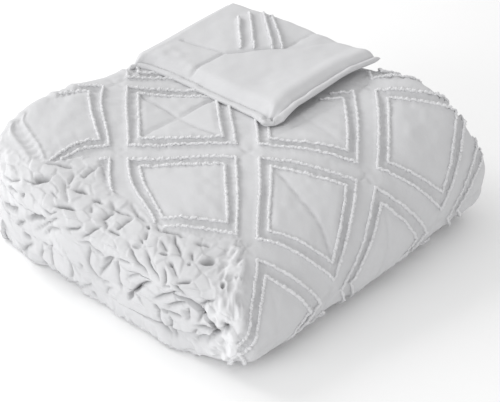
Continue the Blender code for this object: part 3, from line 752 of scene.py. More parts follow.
def crumple(p, q):
    """How far the fold side stands out, and how much painted shade each place gets in its creases and
    hollows, less a painted highlight on the ruffles.

    Pillows lie between the creases, with small gathers, ruffles at the two ends and deep hollows.
    """
    creases, hollows, _ = crumple_map()
    nearest = np.full(p.shape, 0.030)
    groove, deep, hollow = np.zeros(p.shape), np.zeros(p.shape), np.zeros(p.shape)
    bent_p, bent_q = (at + BEND * hills(p, q, BEND_SIZE, seed) for at, seed in ((p, 21), (q, 22)))
    for depth, line in creases:
        away, share, over = along_line(bent_p, bent_q, line)
        taper = ease(np.minimum(share, 1 - share), *CREASE_ENDS)
        dark_wide = GROOVE_DARK * (1 + ease(-over, 0, 1))
        wide = np.where(over > 0, GROOVE_LIT + GROOVE_WIDENS * depth, dark_wide)
        apart = away + END_SHALLOW * (1 - taper) + DEPTH_SHALLOW * (DEEPEST - depth)
        nearest = np.minimum(nearest, apart)
        groove = np.maximum(groove, GROOVE * depth * taper * np.exp(-away / wide))
        # painted shade along each crease line
        deep = np.maximum(deep, depth / CREASE_FULL_SHADE * taper * bump(away, CREASE_SHADE_WIDE))
    pillow = PILLOW * (1 - np.exp(-nearest / PILLOW_REACH)) - PILLOW_SUNK

    rng = np.random.default_rng(11)
    cells = [(c + 0.5 * (r % 2), r) for r in FACET_ROWS for c in FACET_COLUMNS]
    cells = np.array(cells) * (FACET_WIDE, FACET_TALL)
    cells = cells + rng.uniform(-FACET_SPREAD, FACET_SPREAD, cells.shape) * (FACET_WIDE, FACET_TALL)
    tilt = rng.uniform(-1, 1, cells.shape) * FACET_TILT
    wavy_p = p + WAVY * hills(p, q, WAVY_SIZE, 23) + FACET_SLANT * (q - FACET_MIDDLE)
    wavy_q = q + WAVY * hills(p, q, WAVY_SIZE, 24)
    away = np.hypot(wavy_p[..., None] - cells[:, 0], FACET_SQUASH * (wavy_q[..., None] - cells[:, 1]))
    two = np.argpartition(away, 1, axis=-1)[..., :2]
    near = np.take_along_axis(away, two, -1)
    mine = np.take_along_axis(two, near.argmin(-1)[..., None], -1)[..., 0]
    gap = np.abs(near[..., 1] - near[..., 0])
    facet = tilt[mine, 0] * (wavy_p - cells[mine, 0]) + tilt[mine, 1] * (wavy_q - cells[mine, 1])
    facet = facet * ease(gap, 0.0, FACET_FADE) - FACET_EDGE * bump(gap, FACET_EDGE_WIDE)

    gathers = np.sin(p * 2 * math.pi / GATHER_STEP + 5 * hills(p, q, GATHER_SIZE, 25) + 20 * q)
    fine = GATHER * gathers * ease(hills(p, q, GATHER_PATCH, 26), -0.1, 0.5)
    ridged = RIDGE * (0.5 - np.abs(hills(p, RIDGE_TALL * q, RIDGE_SIZE, 27)))
    ruffled = ease(p, *RIGHT_RUFFLE) + LEFT_SHARE * ease(-p, *LEFT_RUFFLE) * ease(q, *LEFT_RUFFLE_UP)
    ruffle = RUFFLE * hills(p, RUFFLE_TALL * q, RUFFLE_SIZE, 28)
    ruffle += RUFFLE_RIDGE * (0.5 - np.abs(hills(p, RUFFLE_TALL * q, RUFFLE_RIDGE_SIZE, 29)))

    torn_p, torn_q = (at + TORN * hills(p, q, TORN_SIZE, seed) for at, seed in ((p, 30), (q, 31)))
    for at_p, at_q, long, high, turn, depth in hollows:
        c, si = math.cos(turn), math.sin(turn)
        dp, dq = torn_p - at_p, torn_q - at_q
        r = np.hypot((c * dp + si * dq) / long, (c * dq - si * dp) / high)
        hollow = np.maximum(hollow, MM * depth * np.exp(-(r**4)))

    # painted shade in the hollows as well
    deep = np.maximum(deep, np.clip(hollow / HOLLOW_FULL_SHADE, 0, 1))
    low = 1 + LOW_ROUGH * ease(q, *LOW_PART)
    out = pillow + low * facet + (2 * low - 1) * ridged
    out = out + fine + ruffled * ruffle - groove - hollow
    # painted highlight: the ruffles' raised parts get negative shade, which lightens the colour
    deep = deep - RUFFLE_HIGHLIGHT * ruffled * ease(ruffle - hollow, -0.0008, 0.0010)
    return bpy.context.scene.blanket_cloth.crumple_depth * out, deep


def wander(points, share, sides, names, outward):
    """The heights, with the slits wandering and drawn shut where the fold side is crumpled."""
    x, y, z = points[..., 0], points[..., 1], points[..., 2]
    near = ease(y - sides[:, 0:1], *SLITS_NEAR)
    part = ease(z, 0.0, 0.020) * ease(STACK - z, 0.0, 0.035)
    shut = near * ease(np.abs(x), *SLITS_SHUT) * (0.5 - share) * SHUT_SHARE * GAP
    shut = shut * outward[:, 1:2] * (names != "outer turn")[:, None]
    shut = shut * ease(z, *SHUT_FROM_FLOOR) * ease(STACK - z, *SHUT_FROM_TOP)
    return z + shut + near * part * SLIT_WANDER * hills(x, z, SLIT_WANDER_SIZE, 31)


def cloth_grid():
    """The whole strip as a closed grid of points, with what each point needs for its relief."""
    rows_a, rows_b, names, grid_i = strip_path()
    sides = strip_sides(rows_a, names)
    outlines = [outline_at(*side) for side in sides]
    share = np.array([o[0] for o in outlines])
    y = np.array([o[1] for o in outlines])
    flat = rows_a[:, None] + (rows_b - rows_a)[:, None] * share[..., None]
    points = np.stack([flat[..., 0], y, flat[..., 1]], -1)
    outward = rows_a - rows_b
    outward /= np.linalg.norm(outward, axis=1, keepdims=True)
    side_p, side_q = side_place(points, share, sides, outward)
    points[..., 2] = wander(points, share, sides, names, outward)
    return points, share, sides, names, grid_i, side_p, side_q


def pattern_j(points, sides):
    """The pattern's grid step across the strip, measured along the cloth on its rounded side."""
    low, high = sides[:, 0:1], sides[:, 1:2]
    scale = ACROSS / (high - low - PATTERN_SPARE)
    j = ACROSS / 2 + scale * (points[..., 1] - 0.5 * (low + high)) - TOP_SQUARE[1]
    start = j.shape[1] - NEAR_SIDE[0]
    edge = np.concatenate([points[:, start:], points[:, :1]], axis=1)
    run = np.linalg.norm(np.diff(edge, axis=1), axis=2)
    back = np.cumsum(run[:, ::-1], axis=1)[:, ::-1]
    j[:, start:] = j[:, :1] - scale * back
    return j


def close_caps(points):
    """The grid with its two rounded ends added as rings."""
    ends = []
    for ring in (points[0], points[-1]):
        half = ring[: FACE + 1].mean(0)[2], ring[FACE + sum(FAR_SIDE) : -sum(NEAR_SIDE)].mean(0)[2]
        middle_z = 0.5 * (half[0] + half[1])
        y = ring[:, 1]
        middle_y = 0.5 * (y.min() + y.max())
        inside = 1 - np.abs((y - middle_y) / (0.5 * (y.max() - y.min()))) ** 8
        rings = []
        for at in range(1, CAP_RINGS + 1):
            turn = math.radians(84) * at / CAP_RINGS
            new = ring.copy()
            new[:, 2] = middle_z + (ring[:, 2] - middle_z) * math.cos(turn)
            new[:, 0] = ring[:, 0] - CAP_BULGE * math.sin(turn) * inside
            new[:, 0] += (ring[:, 0].mean() - ring[:, 0]) * (1 - math.cos(turn))
            rings.append(new)
        ends.append(np.array(rings))
    return np.concatenate([ends[0][::-1], points, ends[1]])


def blocks(shape, sizes):
    """Faces of a grid that closes on itself, in blocks of the sizes asked for at each cell.

    The grid's first and last rows are closed with one face each. sizes gives rows and columns a block.
    """
    rows, columns = shape
    start = CAP_RINGS % BLOCK
    parts, corners = [], []
    kinds = np.unique(sizes.reshape(-1, 2), axis=0)
    for tall, wide in kinds:
        s, k = np.nonzero((sizes[..., 0] == tall) & (sizes[..., 1] == wide))
        first = ((s - start) % tall == 0) & (k % wide == 0)
        s, k = s[first, None], k[first, None]
        walk_s = [0] * wide + list(range(tall)) + [tall] * wide + list(range(tall, 0, -1))
        walk_k = list(range(wide)) + [wide] * tall + list(range(wide, 0, -1)) + [0] * tall
        walk = (s + np.array(walk_s)) * columns + (k + np.array(walk_k)) % columns
        parts.append(walk)
        corners.append(walk[:, [0, wide, wide + tall, 2 * wide + tall]].ravel())
    busy = np.zeros(rows * columns, bool)
    busy[np.concatenate(corners)] = True
    busy[:columns] = busy[-columns:] = True
    faces = []
    for walk in parts:
        kept = busy[walk]
        faces += [row[keep].tolist() for row, keep in zip(walk, kept)]
    faces.append(list(range(columns))[::-1])
    faces.append(list(range((rows - 1) * columns, rows * columns)))
    return faces


def camera_ways():
    """The camera's right, up and back directions, and where it stands."""
    a, e = math.radians(AZIMUTH), math.radians(ELEVATION)
    back = np.array((math.sin(a) * math.cos(e), -math.cos(a) * math.cos(e), math.sin(e)))
    right = np.array((math.cos(a), math.sin(a), 0.0))
    up = np.cross(back, right)
    return right, up, back, right * AIM_RIGHT + up * AIM_UP + back * DISTANCE


@cache
def cloth_in_photo():
    """Where the plain cloth's points show in the photo, for those that face the camera."""
    points, _, sides, names, grid_i, side_p, side_q = cloth_grid()
    j = pattern_j(points, sides)
    i = np.broadcast_to(grid_i[:, None], j.shape)
    placed = settle(points)
    right, up, back, where = camera_ways()
    ray = placed - where
    away = -(ray @ back)
    scale = PHOTO_WIDE * LENS / FILM
    columns = np.arange(j.shape[1])
    on_a = (columns <= FACE + FAR_SIDE[0]) | (columns >= len(columns) - NEAR_SIDE[0])
    patterned = np.isin(names, PATTERNED)[:, None] & on_a
    near_side = points[..., 1] < sides[:, 0:1] + NEAR_PART
    grids = {
        "x": PHOTO_WIDE / 2 + scale * (ray @ right) / away,
        "y": PHOTO_TALL / 2 - scale * (ray @ up) / away,
        "away": away, "i": i, "j": j, "p": side_p, "q": side_q,
        "patterned": patterned, "near side": near_side,
    }
    facing = (grid_normals(placed, wrap=True) * ray).sum(-1) < 0
    return {name: grid[facing] for name, grid in grids.items()}


def seen_at(x, y, view, kind, reaches=SEEN_WITHIN, skin=SKIN):
    """The point of one kind that shows at a place in the photo: the front one within a few pixels."""
    r = np.where(kind, np.hypot(view["x"] - x, view["y"] - y), np.inf)
    for reach in reaches:
        near = r < reach
        if near.any():
            front = view["away"][near].min()
            return np.where(near & (view["away"] < front + skin), r, np.inf).argmin()
    return r.argmin()


@cache
def crumple_map():
    """The creases and hollows on the fold side laid flat, and the crumple's upper edge on the pattern."""
    view = cloth_in_photo()
    side = view["near side"]

    def flat(x, y):
        at = seen_at(x, y, view, side)
        return round(float(view["p"][at]), 3), round(float(view["q"][at]), 3)

    creases, hollows = [], []
    for depth, line in CREASES:
        places = list(dict.fromkeys(flat(*place) for place in line))
        if len(places) > 1:
            creases.append((depth, places))
    for x, y, wide, tall, turn, depth in HOLLOWS:
        c, si = math.cos(math.radians(turn)), math.sin(math.radians(turn))
        ends = [flat(x + k * wide * c, y + k * wide * si) for k in (1, -1)]
        tops = [flat(x - k * tall * si, y + k * tall * c) for k in (1, -1)]
        long, high = (np.subtract(*pair) / 2 for pair in (ends, tops))
        angle = (math.atan2(long[1], long[0]) + math.pi / 2) % math.pi - math.pi / 2
        long = max(HOLLOW_LEAST[0], HOLLOW_SHARE[0] * math.hypot(*long))
        high = max(HOLLOW_LEAST[1], HOLLOW_SHARE[1] * math.hypot(*high))
        hollows.append((*flat(x, y), long, high, angle, depth))
    edge = [seen_at(x, y, view, view["patterned"]) for x, y in CRUMPLE_EDGE]
    return creases, hollows, (view["i"][edge], view["j"][edge])


def hems(x, y):
    """How far in a place lies from the turned-over corner's side hem and from its end hem."""
    side = np.interp(x, *zip(*SIDE_HEM))
    end = np.interp(y, *zip(*END_HEM))
    return y - side, end - x


def under_flap(x, y):
    """1 where the turned-over corner lies on the cloth."""
    return ease(np.minimum(*hems(x, y)), -0.002, 0.007)


def crumpled_part(i, j):
    """1 where the top and the tall fold belong to the crumpled side."""
    edge_i, edge_j = crumple_map()[2]
    return ease(np.interp(i, edge_i, edge_j) - j, -0.3, 1.0)


def dressed_cloth():
    """The strip's grid with its quilting and crumpled side, and where each point is crumpled."""
    points, share, sides, names, grid_i, side_p, side_q = cloth_grid()
    j = pattern_j(points, sides)
    i = np.broadcast_to(grid_i[:, None], j.shape)
    stations, columns = j.shape
    normals = grid_normals(points, wrap=True)
    x, y, z = points[..., 0], points[..., 1], points[..., 2]

    shown = np.isin(names, PATTERNED)[:, None]
    on_a = np.zeros(columns)
    on_a[: FACE + FAR_SIDE[0]] = 1
    on_a[-NEAR_SIDE[0] :] = 1
    outside = (shown * on_a) > 0
    crumpled = np.where(outside, crumpled_part(i, j), ease(y - sides[:, 0:1], *CRUMPLE_FROM))
    own_i, own_j = pattern_at(i, j)
    height = quilting(own_i, own_j, *seam_strength(own_i, own_j)) * on_a
    covered = np.where((names == "top")[:, None], under_flap(x, y), 0)
    height = height * (1 - covered) + UNDER_CORNER * covered
    nose = np.flatnonzero(names == "outer turn")
    from_foot = np.clip((np.arange(stations) - nose[0]) / FOOT_STATIONS, 0, 1)[:, None]
    height *= shown * from_foot * (1 - crumpled)

    rough = np.zeros(j.shape)
    used = crumpled > 0
    # painted shade: how much each point's colour is darkened in the creases and hollows
    crease = np.zeros(j.shape)
    rough[used], crease[used] = crumple(side_p[used], side_q[used])
    crease *= crumpled
    rough *= crumpled * ease(z, *CRUMPLE_FOOT)
    under_edge = (names == "bottom")[:, None] & (share < sides[:, 2:3])
    lifted = outside | under_edge
    points = points + normals * (height + rough * lifted)[..., None]
    points[..., 1] -= rough * ~lifted

    foot = (names == "bottom")[:, None] & (share < FOOT_SHARE)
    points[..., 2] = np.where(foot, 0, np.maximum(points[..., 2], 0))
    return points, names, i, j, crumpled * outside, covered, crease


def block_sizes(shape, names, crumpled, covered):
    """How many rows and columns of the grid each face of the cloth takes, cell by cell."""
    rows, columns = shape
    sizes = np.full((rows - 1, columns, 2), BLOCK)
    near_b, near_a = columns - sum(NEAR_SIDE), columns - NEAR_SIDE[0]
    far = slice(FACE, FACE + sum(FAR_SIDE))
    start, stop = CAP_RINGS, rows - 1 - CAP_RINGS
    inside = sizes[start:stop]
    shown = np.isin(names, PATTERNED)[1:]
    plain = np.isin(names, ("low turn",))[1:]
    inside[:, far] = (2, 4)
    inner = np.isin(names, ("inner turn",))[1:]
    inside[:, near_b:near_a] = (1, 4)
    inside[:, near_a:] = (1, 8)
    foot = np.isin(names, ("bottom",))[1:]
    inside[foot, near_a:] = (1, 4)
    inside[inner, near_b:near_a] = (1, 1)
    inside[inner, near_a:] = (1, 2)
    inside[plain, :FACE] = (4, 4)
    inside[shown, :FACE] = (2, 2)
    inside[shown, far] = (2, 4)
    inside[shown, near_a:] = (1, 1)
    tall, wide = inside.shape[0] // 2, FACE // 2
    rough = crumpled[1:, :FACE].reshape(tall, 2, wide, 2).max((1, 3)) > 0.02
    rough = np.repeat(np.repeat(rough, 2, 0), 2, 1)
    inside[:, :FACE][rough] = (1, 1)
    tall, wide = inside.shape[0] // BLOCK, FACE // BLOCK
    deep = covered[1:, :FACE].reshape(tall, BLOCK, wide, BLOCK).min((1, 3)) > 0.9
    deep = np.repeat(np.repeat(deep, BLOCK, 0), BLOCK, 1)
    inside[:, :FACE][deep] = (BLOCK, BLOCK)
    sizes[:start] = sizes[stop:] = (1, 4)
    return sizes


def lay_cloth(material):
    """The quilted cloth in its four layers, as one closed mesh."""
    points, names, _, _, crumpled, covered, crease = dressed_cloth()
    closed = settle(close_caps(points))
    # the painted crease shade, padded for the end caps
    crease = np.pad(crease, ((CAP_RINGS, CAP_RINGS), (0, 0)))
    faces = blocks(closed.shape[:2], block_sizes(closed.shape[:2], names, crumpled, covered))
    return mesh_object("quilted_cloth", closed.reshape(-1, 3), faces, material, crease.ravel())


# the turned-over corner
def rounded(d, reach):
    """A round edge: 0 on it, 1 from its reach on."""
    return np.sqrt(np.clip(1 - (1 - np.clip(d / reach, 0, 1)) ** 2, 0, 1))


def spaced(step, length, start):
    """Shares along a length, closer together at its end, and at its start too if that is rounded."""
    close = np.array(CLOSE_STEPS) / length
    first = close if start else np.array([0.0])
    last = 1 - close[::-1]
    count = max(2, round((last[0] - first[-1]) * length / step))
    return np.concatenate([first, np.linspace(first[-1], last[0], count + 1)[1:-1], last])


def flap_relief(x, y):
    """Height of the sewn seams, filled pockets and tufted rows on the turned-over corner."""
    seam = np.full(x.shape, 1.0)
    for depth, line in FLAP_SEAMS:
        away, share, _ = along_line(x, y, MM * np.array(line))
        seam = np.minimum(seam, away + FAINT_SEAM * (1 - depth) + SEAM_TAIL * ease(share, *TAIL_PART))
    row = np.zeros(x.shape)
    for line in FLAP_ROWS:
        away, share, _ = along_line(x, y, MM * np.array(line))
        ends = ease(np.minimum(share, 1 - share), *ROW_ENDS)
        row = np.maximum(row, bump(away, CORNER_ROW_WIDE) * ends)
    height = CORNER_PUFF * (1 - np.exp(-seam / CORNER_PUFF_REACH))
    height += CORNER_ROW * row - CORNER_SEAM * bump(seam, CORNER_SEAM_WIDE)
    at_x, at_y, reach_x, reach_y = WRINKLED
    wrinkled = np.exp(-(((x - at_x) / reach_x) ** 2) - ((y - at_y) / reach_y) ** 2)
    height += WRINKLE * wrinkled * hills(x, y, WRINKLE_SIZE, 45)
    return height + sum(high * hills(x, y, size, seed) for high, size, seed in CORNER_HILLS)


def corner_grid():
    """The turned ply's upper and under faces as two grids that share their rim."""
    turn_x = TURNS["outer"][0] - TOP_CELLS * CELL - SWING_X
    across = spaced(CORNER_STEP, CORNER_DEEP, True)
    over = spaced(CORNER_STEP, CORNER_LONG, False)
    swing = np.radians(np.linspace(-90, 90, SWING_STEPS))
    stations = [("in", x) for x in SWING_IN]
    stations += [("turn", angle) for angle in swing] + [("over", share) for share in over[1:]]
    faces = {}
    places = []
    for side in (1, 0):
        rows = []
        for kind, at in stations:
            flat_x = turn_x + at * (LINE_UP - turn_x) if kind == "over" else turn_x - OUTLINE_BEFORE
            low = np.interp(flat_x, *zip(*SIDE_HEM))
            far = np.interp(flat_x, *zip(*FAR_EDGE))
            y = low + across * (far - low)
            d_side, d_far = y - low, far - y
            if kind == "over":
                end = np.interp(y, *zip(*END_HEM))
                x = turn_x + at * (end - turn_x)
                d_end = end - x
            else:
                x, d_end = np.full_like(y, turn_x), np.ones_like(y)
            filled = ease(d_side, HEM_WIDE, HEM_WIDE + HEM_FILL) * ease(d_end, 0.8 * HEM_WIDE, END_FILL)
            full = HEM_THICK + (FLAP_THICK - HEM_THICK) * filled + HEM_ROLL * ease(d_end, *ROLL_PART)
            for sewn, edge in ((SEWN_SIDE, d_side), (SEWN_END, d_end)):
                full -= sewn * bump(edge - HEM_WIDE, SEWN_WIDE)
            thick = full * rounded(d_side, ROUND_SIDE) * rounded(d_end, ROUND_END)
            thick = thick * rounded(d_far, ROUND_FAR)
            under = 0.5 * (full - thick)
            rest = HEM_REST + (FLAP_REST - HEM_REST) * ease(d_side, 0.0, REST_FROM)
            middle_z = STACK + 0.5 * rest
            if kind == "over":
                at_side = LIFT_AT_SIDE + (1 - LIFT_AT_SIDE) * ease(d_side, *LIFT_SIDE)
                at_far = LIFT_AT_FAR + (1 - LIFT_AT_FAR) * ease(y, *LIFT_FAR)
                lifted = ease(d_end, LIFT_END, 0.0) * at_side * at_far
                under = under * (UNDER_AT_TURN + (1 - UNDER_AT_TURN) * ease(at, 0.0, UNDER_FADE))
                z = STACK + rest + FLAP_LIFT * lifted + under + (thick if side else 0.0)
                rows.append(np.stack([x, y, z], 1))
                if side:
                    places.append(np.minimum(d_side, d_end))
                continue
            under = UNDER_AT_TURN * under
            radius = 0.5 * rest + under + (thick if side else 0.0)
            if kind == "turn":
                px, z = turn_x - radius * math.cos(at), middle_z + radius * math.sin(at)
            else:
                px, z = turn_x + at + 0 * y, middle_z - radius - SWING_SINKS * at
            rows.append(np.stack([px, y, z], 1))
            if side:
                places.append(np.minimum(d_side, 0.02))
        faces[side] = np.array(rows)
    top, under = faces[1], faces[0]
    rim = 0.5 * (top + under)
    for s in (np.s_[:, 0], np.s_[:, -1], np.s_[-1, :]):
        top[s] = under[s] = rim[s]
    return top, under, stations, np.array(places)


def turn_corner(material):
    """The turned-over corner as one closed mesh, with its upper face and that face's x and y before its
    relief.
    """
    top, under, stations, d = corner_grid()
    normals = -grid_normals(top, wrap=False)
    x, y = top[..., 0].copy(), top[..., 1].copy()
    over = np.array([float(kind == "over") for kind, _ in stations])[:, None]
    height = flap_relief(x, y) * ease(d, *CORNER_FADE) * over
    from_tip = x - TIP[0], y - TIP[1]
    tip = np.hypot(*from_tip)
    angle = np.arctan2(from_tip[1], -from_tip[0])
    bunch = bump(tip, TIP_REACH) * ease(tip, *TIP_PART)
    gathered = np.sin(angle * TIP_FOLDS + 3 * hills(x, y, TIP_SIZE, 42))
    height += bunch * (TIP_RISE + TIP_GATHER * gathered)
    hem = ease(d, *HEM_STARTS) * ease(d, *HEM_STOPS)
    height += HEM_HILLS * hills(x, y, HEM_HILL_SIZE, 44) * hem
    height[:, 0] = height[:, -1] = height[-1, :] = 0
    top = top + normals * height[..., None]
    top, under = settle(top), settle(under)
    rows, columns = top.shape[:2]
    count = rows * columns

    def at(side, s, k):
        rim = k in (0, columns - 1) or s == rows - 1
        return s * columns + k + (count if side and not rim else 0)

    faces = []
    for s in range(rows - 1):
        for k in range(columns - 1):
            faces.append([at(0, s, k), at(0, s + 1, k), at(0, s + 1, k + 1), at(0, s, k + 1)])
            faces.append([at(1, s, k), at(1, s, k + 1), at(1, s + 1, k + 1), at(1, s + 1, k)])
    for k in range(columns - 1):
        faces.append([at(0, 0, k), at(0, 0, k + 1), at(1, 0, k + 1), at(1, 0, k)])
    faces = [list(dict.fromkeys(f)) for f in faces]
    faces = [f for f in faces if len(f) > 2]
    points = np.concatenate([top.reshape(-1, 3), under.reshape(-1, 3)])
    ob = mesh_object("turned_corner", points, faces, material)
    return ob, top, x, y


def on_corner(line, spacing, raised, top, x, y):
    """Places along a line on the turned-over corner: their points, normals and directions."""
    line = np.array(line)
    done = walked(line)
    wanted = np.arange(0.5 * spacing, done[-1], spacing)
    place = np.stack([np.interp(wanted, done, line[:, k]) for k in (0, 1)], 1)
    normals = -grid_normals(top, wrap=False)
    above = normals[..., 2] > 0.2
    away = np.hypot(x[..., None] - place[:, 0], y[..., None] - place[:, 1])
    away = np.where(above[..., None], away, 1.0).reshape(-1, len(place))
    near = np.argsort(away, axis=0)[:3]
    weight = 1 / (np.take_along_axis(away, near, 0) + 1e-4)
    weight /= weight.sum(0)
    found = (top.reshape(-1, 3)[near] * weight[..., None]).sum(0)
    facing = normals.reshape(-1, 3)[near[0]]
    found = found + raised * facing
    return found, facing, np.gradient(found, axis=0)


# tufts
def square_rows(spacing, squares):
    """Places along the double rows of the tufted squares, in the pattern's grid steps."""
    places = []
    for turn_u, turn_v in squares:
        for ring in (OUTER, INNER):
            count = max(4, round(2 * ring * DIAGONAL / spacing))
            run = np.linspace(-ring, ring, count, endpoint=False)
            for side in range(4):
                if (turn_u, turn_v, side) in WORN_ROWS:
                    continue
                u, v = ((run, ring), (ring, -run), (-run, -ring), (-ring, run))[side]
                u = u + LINES * turn_u + 0 * run
                v = v + LINES * turn_v + 0 * run
                along = ((1, 0), (0, -1), (-1, 0), (0, 1))[side]
                places.append(np.stack([u, v, along[0] + 0 * u, along[1] + 0 * u], 1))
    return np.concatenate(places)


def on_grid(i, j, i_of, j_of, grids):
    """Values of some grids at places on the bundle, and whether each place is on the grid."""
    steps = np.arange(len(i_of))
    s = np.clip(np.interp(i, i_of, steps), 0, len(steps) - 1.001)
    s0 = s.astype(int)
    found = [0.0] * len(grids)
    good = (i > i_of[0] + 0.2) & (i < i_of[-1] - 0.2)
    for row, weight in ((s0, 1 - (s - s0)), (s0 + 1, s - s0)):
        k = np.array([np.interp(at, j_of[r], np.arange(j_of.shape[1])) for at, r in zip(j, row)])
        good &= (k > 0.5) & (k < j_of.shape[1] - 1.5)
        k0 = np.clip(k.astype(int), 0, j_of.shape[1] - 2)
        t = np.clip(k - k0, 0, 1)
        for at, grid in enumerate(grids):
            shape = (-1,) + (1,) * (grid.ndim - 2)
            near, far = grid[row, k0], grid[row, k0 + 1]
            t_ = t.reshape(shape)
            found[at] = found[at] + weight.reshape(shape) * (near * (1 - t_) + far * t_)
    return found, good


def tuft_shape():
    """One clipped tuft: a small ragged clump."""
    mesh = bpy.data.meshes.new("tuft")
    bm = bmesh.new()
    bmesh.ops.create_icosphere(bm, subdivisions=1, radius=1.0)
    rng = np.random.default_rng(5)
    for v in bm.verts:
        v.co = v.co * float(rng.uniform(*TUFT_RAGGED))
    bm.to_mesh(mesh)
    bm.free()
    ob = bpy.data.objects.new("tuft", mesh)
    bpy.context.scene.collection.objects.link(ob)
    return ob


def add_node(tree, kind, **inputs):
    """A node with some of its inputs set."""
    node = tree.nodes.new(kind)
    for name, value in inputs.items():
        node.inputs[name.replace("_", " ")].default_value = value
    return node


def join(tree, links):
    """Links a node tree's sockets: from a node's output into a node's input."""
    for start, out, stop, into in links:
        tree.links.new(start.outputs[out], stop.inputs[into])


def tufts_tree(tuft, material):
    """Geometry nodes: a tuft on every point, turned and sized at random, facing out of the cloth."""
    tree = bpy.data.node_groups.new("tufts_on_points", "GeometryNodeTree")
    sockets = {}
    for name, kind, way in (
        ("Geometry", "NodeSocketGeometry", "INPUT"),
        ("Tuft Length", "NodeSocketFloat", "INPUT"),
        ("Tuft Width", "NodeSocketFloat", "INPUT"),
        ("Tuft Height", "NodeSocketFloat", "INPUT"),
        ("Seed", "NodeSocketInt", "INPUT"),
        ("Geometry", "NodeSocketGeometry", "OUTPUT"),
    ):
        item = tree.interface.new_socket(name, in_out=way, socket_type=kind)
        if way == "INPUT":
            sockets[name] = item.identifier
    group_in = tree.nodes.new("NodeGroupInput")
    group_out = tree.nodes.new("NodeGroupOutput")
    ways = []
    for title, axis in (("facing", "Z"), ("along", "X")):
        read = tree.nodes.new("GeometryNodeInputNamedAttribute")
        read.data_type = "FLOAT_VECTOR"
        read.inputs["Name"].default_value = title
        align = tree.nodes.new("FunctionNodeAlignRotationToVector")
        align.axis = axis
        align.pivot_axis = "AUTO" if axis == "Z" else "Z"
        tree.links.new(read.outputs["Attribute"], align.inputs["Vector"])
        ways.append(align)
    turn = tree.nodes.new("FunctionNodeRandomValue")
    spin = tree.nodes.new("FunctionNodeRotateRotation")
    spin.rotation_space = "LOCAL"
    wide = tree.nodes.new("FunctionNodeRandomValue")
    for node, (least, most) in ((turn, TUFT_TURNS), (wide, TUFT_SIZES)):
        node.data_type = "FLOAT_VECTOR"
        node.inputs["Min"].default_value = least
        node.inputs["Max"].default_value = most
    size = tree.nodes.new("ShaderNodeCombineXYZ")
    scale = tree.nodes.new("ShaderNodeVectorMath")
    scale.operation = "MULTIPLY"
    place = tree.nodes.new("GeometryNodeInstanceOnPoints")
    info = tree.nodes.new("GeometryNodeObjectInfo")
    info.inputs["Object"].default_value = tuft
    real = tree.nodes.new("GeometryNodeRealizeInstances")
    finish = tree.nodes.new("GeometryNodeSetMaterial")
    finish.inputs["Material"].default_value = material
    join(tree, (
        (group_in, "Geometry", place, "Points"),
        (info, "Geometry", place, "Instance"),
        (ways[0], "Rotation", ways[1], "Rotation"),
        (group_in, "Seed", turn, "Seed"),
        (group_in, "Seed", wide, "Seed"),
        (ways[1], "Rotation", spin, "Rotation"),
        (turn, "Value", spin, "Rotate By"),
        (spin, "Rotation", place, "Rotation"),
        (group_in, "Tuft Length", size, "X"),
        (group_in, "Tuft Width", size, "Y"),
        (group_in, "Tuft Height", size, "Z"),
        (size, "Vector", scale, 0),
        (wide, "Value", scale, 1),
        (scale, "Vector", place, "Scale"),
        (place, "Instances", real, "Geometry"),
        (real, "Geometry", finish, "Geometry"),
        (finish, "Geometry", group_out, "Geometry"),
    ))
    return tree, sockets


def plant(name, points, facing, along, material, size, seed):
    """A mesh of tufts, one on each point. size is half a tuft's length, width and height."""
    mesh = bpy.data.meshes.new(name + "_points")
    mesh.from_pydata(points.tolist(), [], [])
    for title, values in (("facing", facing), ("along", along)):
        attribute = mesh.attributes.new(title, "FLOAT_VECTOR", "POINT")
        attribute.data.foreach_set("vector", values.astype(np.float32).ravel())
    seeds = bpy.data.objects.new(name + "_points", mesh)
    bpy.context.scene.collection.objects.link(seeds)
    tuft = tuft_shape()
    tree, sockets = tufts_tree(tuft, material)
    modifier = seeds.modifiers.new("tufts", "NODES")
    modifier.node_group = tree
    modifier[sockets["Tuft Length"]] = size[0]
    modifier[sockets["Tuft Width"]] = size[1]
    modifier[sockets["Tuft Height"]] = size[2]
    modifier[sockets["Seed"]] = seed
    bpy.context.view_layer.update()
    graph = bpy.context.evaluated_depsgraph_get()
    made = bpy.data.meshes.new_from_object(seeds.evaluated_get(graph))
    made.name = name
    made.materials.clear()
    made.materials.append(material)
    made.shade_smooth()
    seeds.modifiers.remove(modifier)
    bpy.data.objects.remove(seeds, do_unlink=True)
    bpy.data.objects.remove(tuft, do_unlink=True)
    ob = bpy.data.objects.new(name, made)
    bpy.context.scene.collection.objects.link(ob)
    return ob


# finishes
CLOUDED, CREASE_SHADE_SHARE = 0.965, 0.58  # shares of the cotton's colour in its faint clouds, and under full painted shade in its creases and hollows
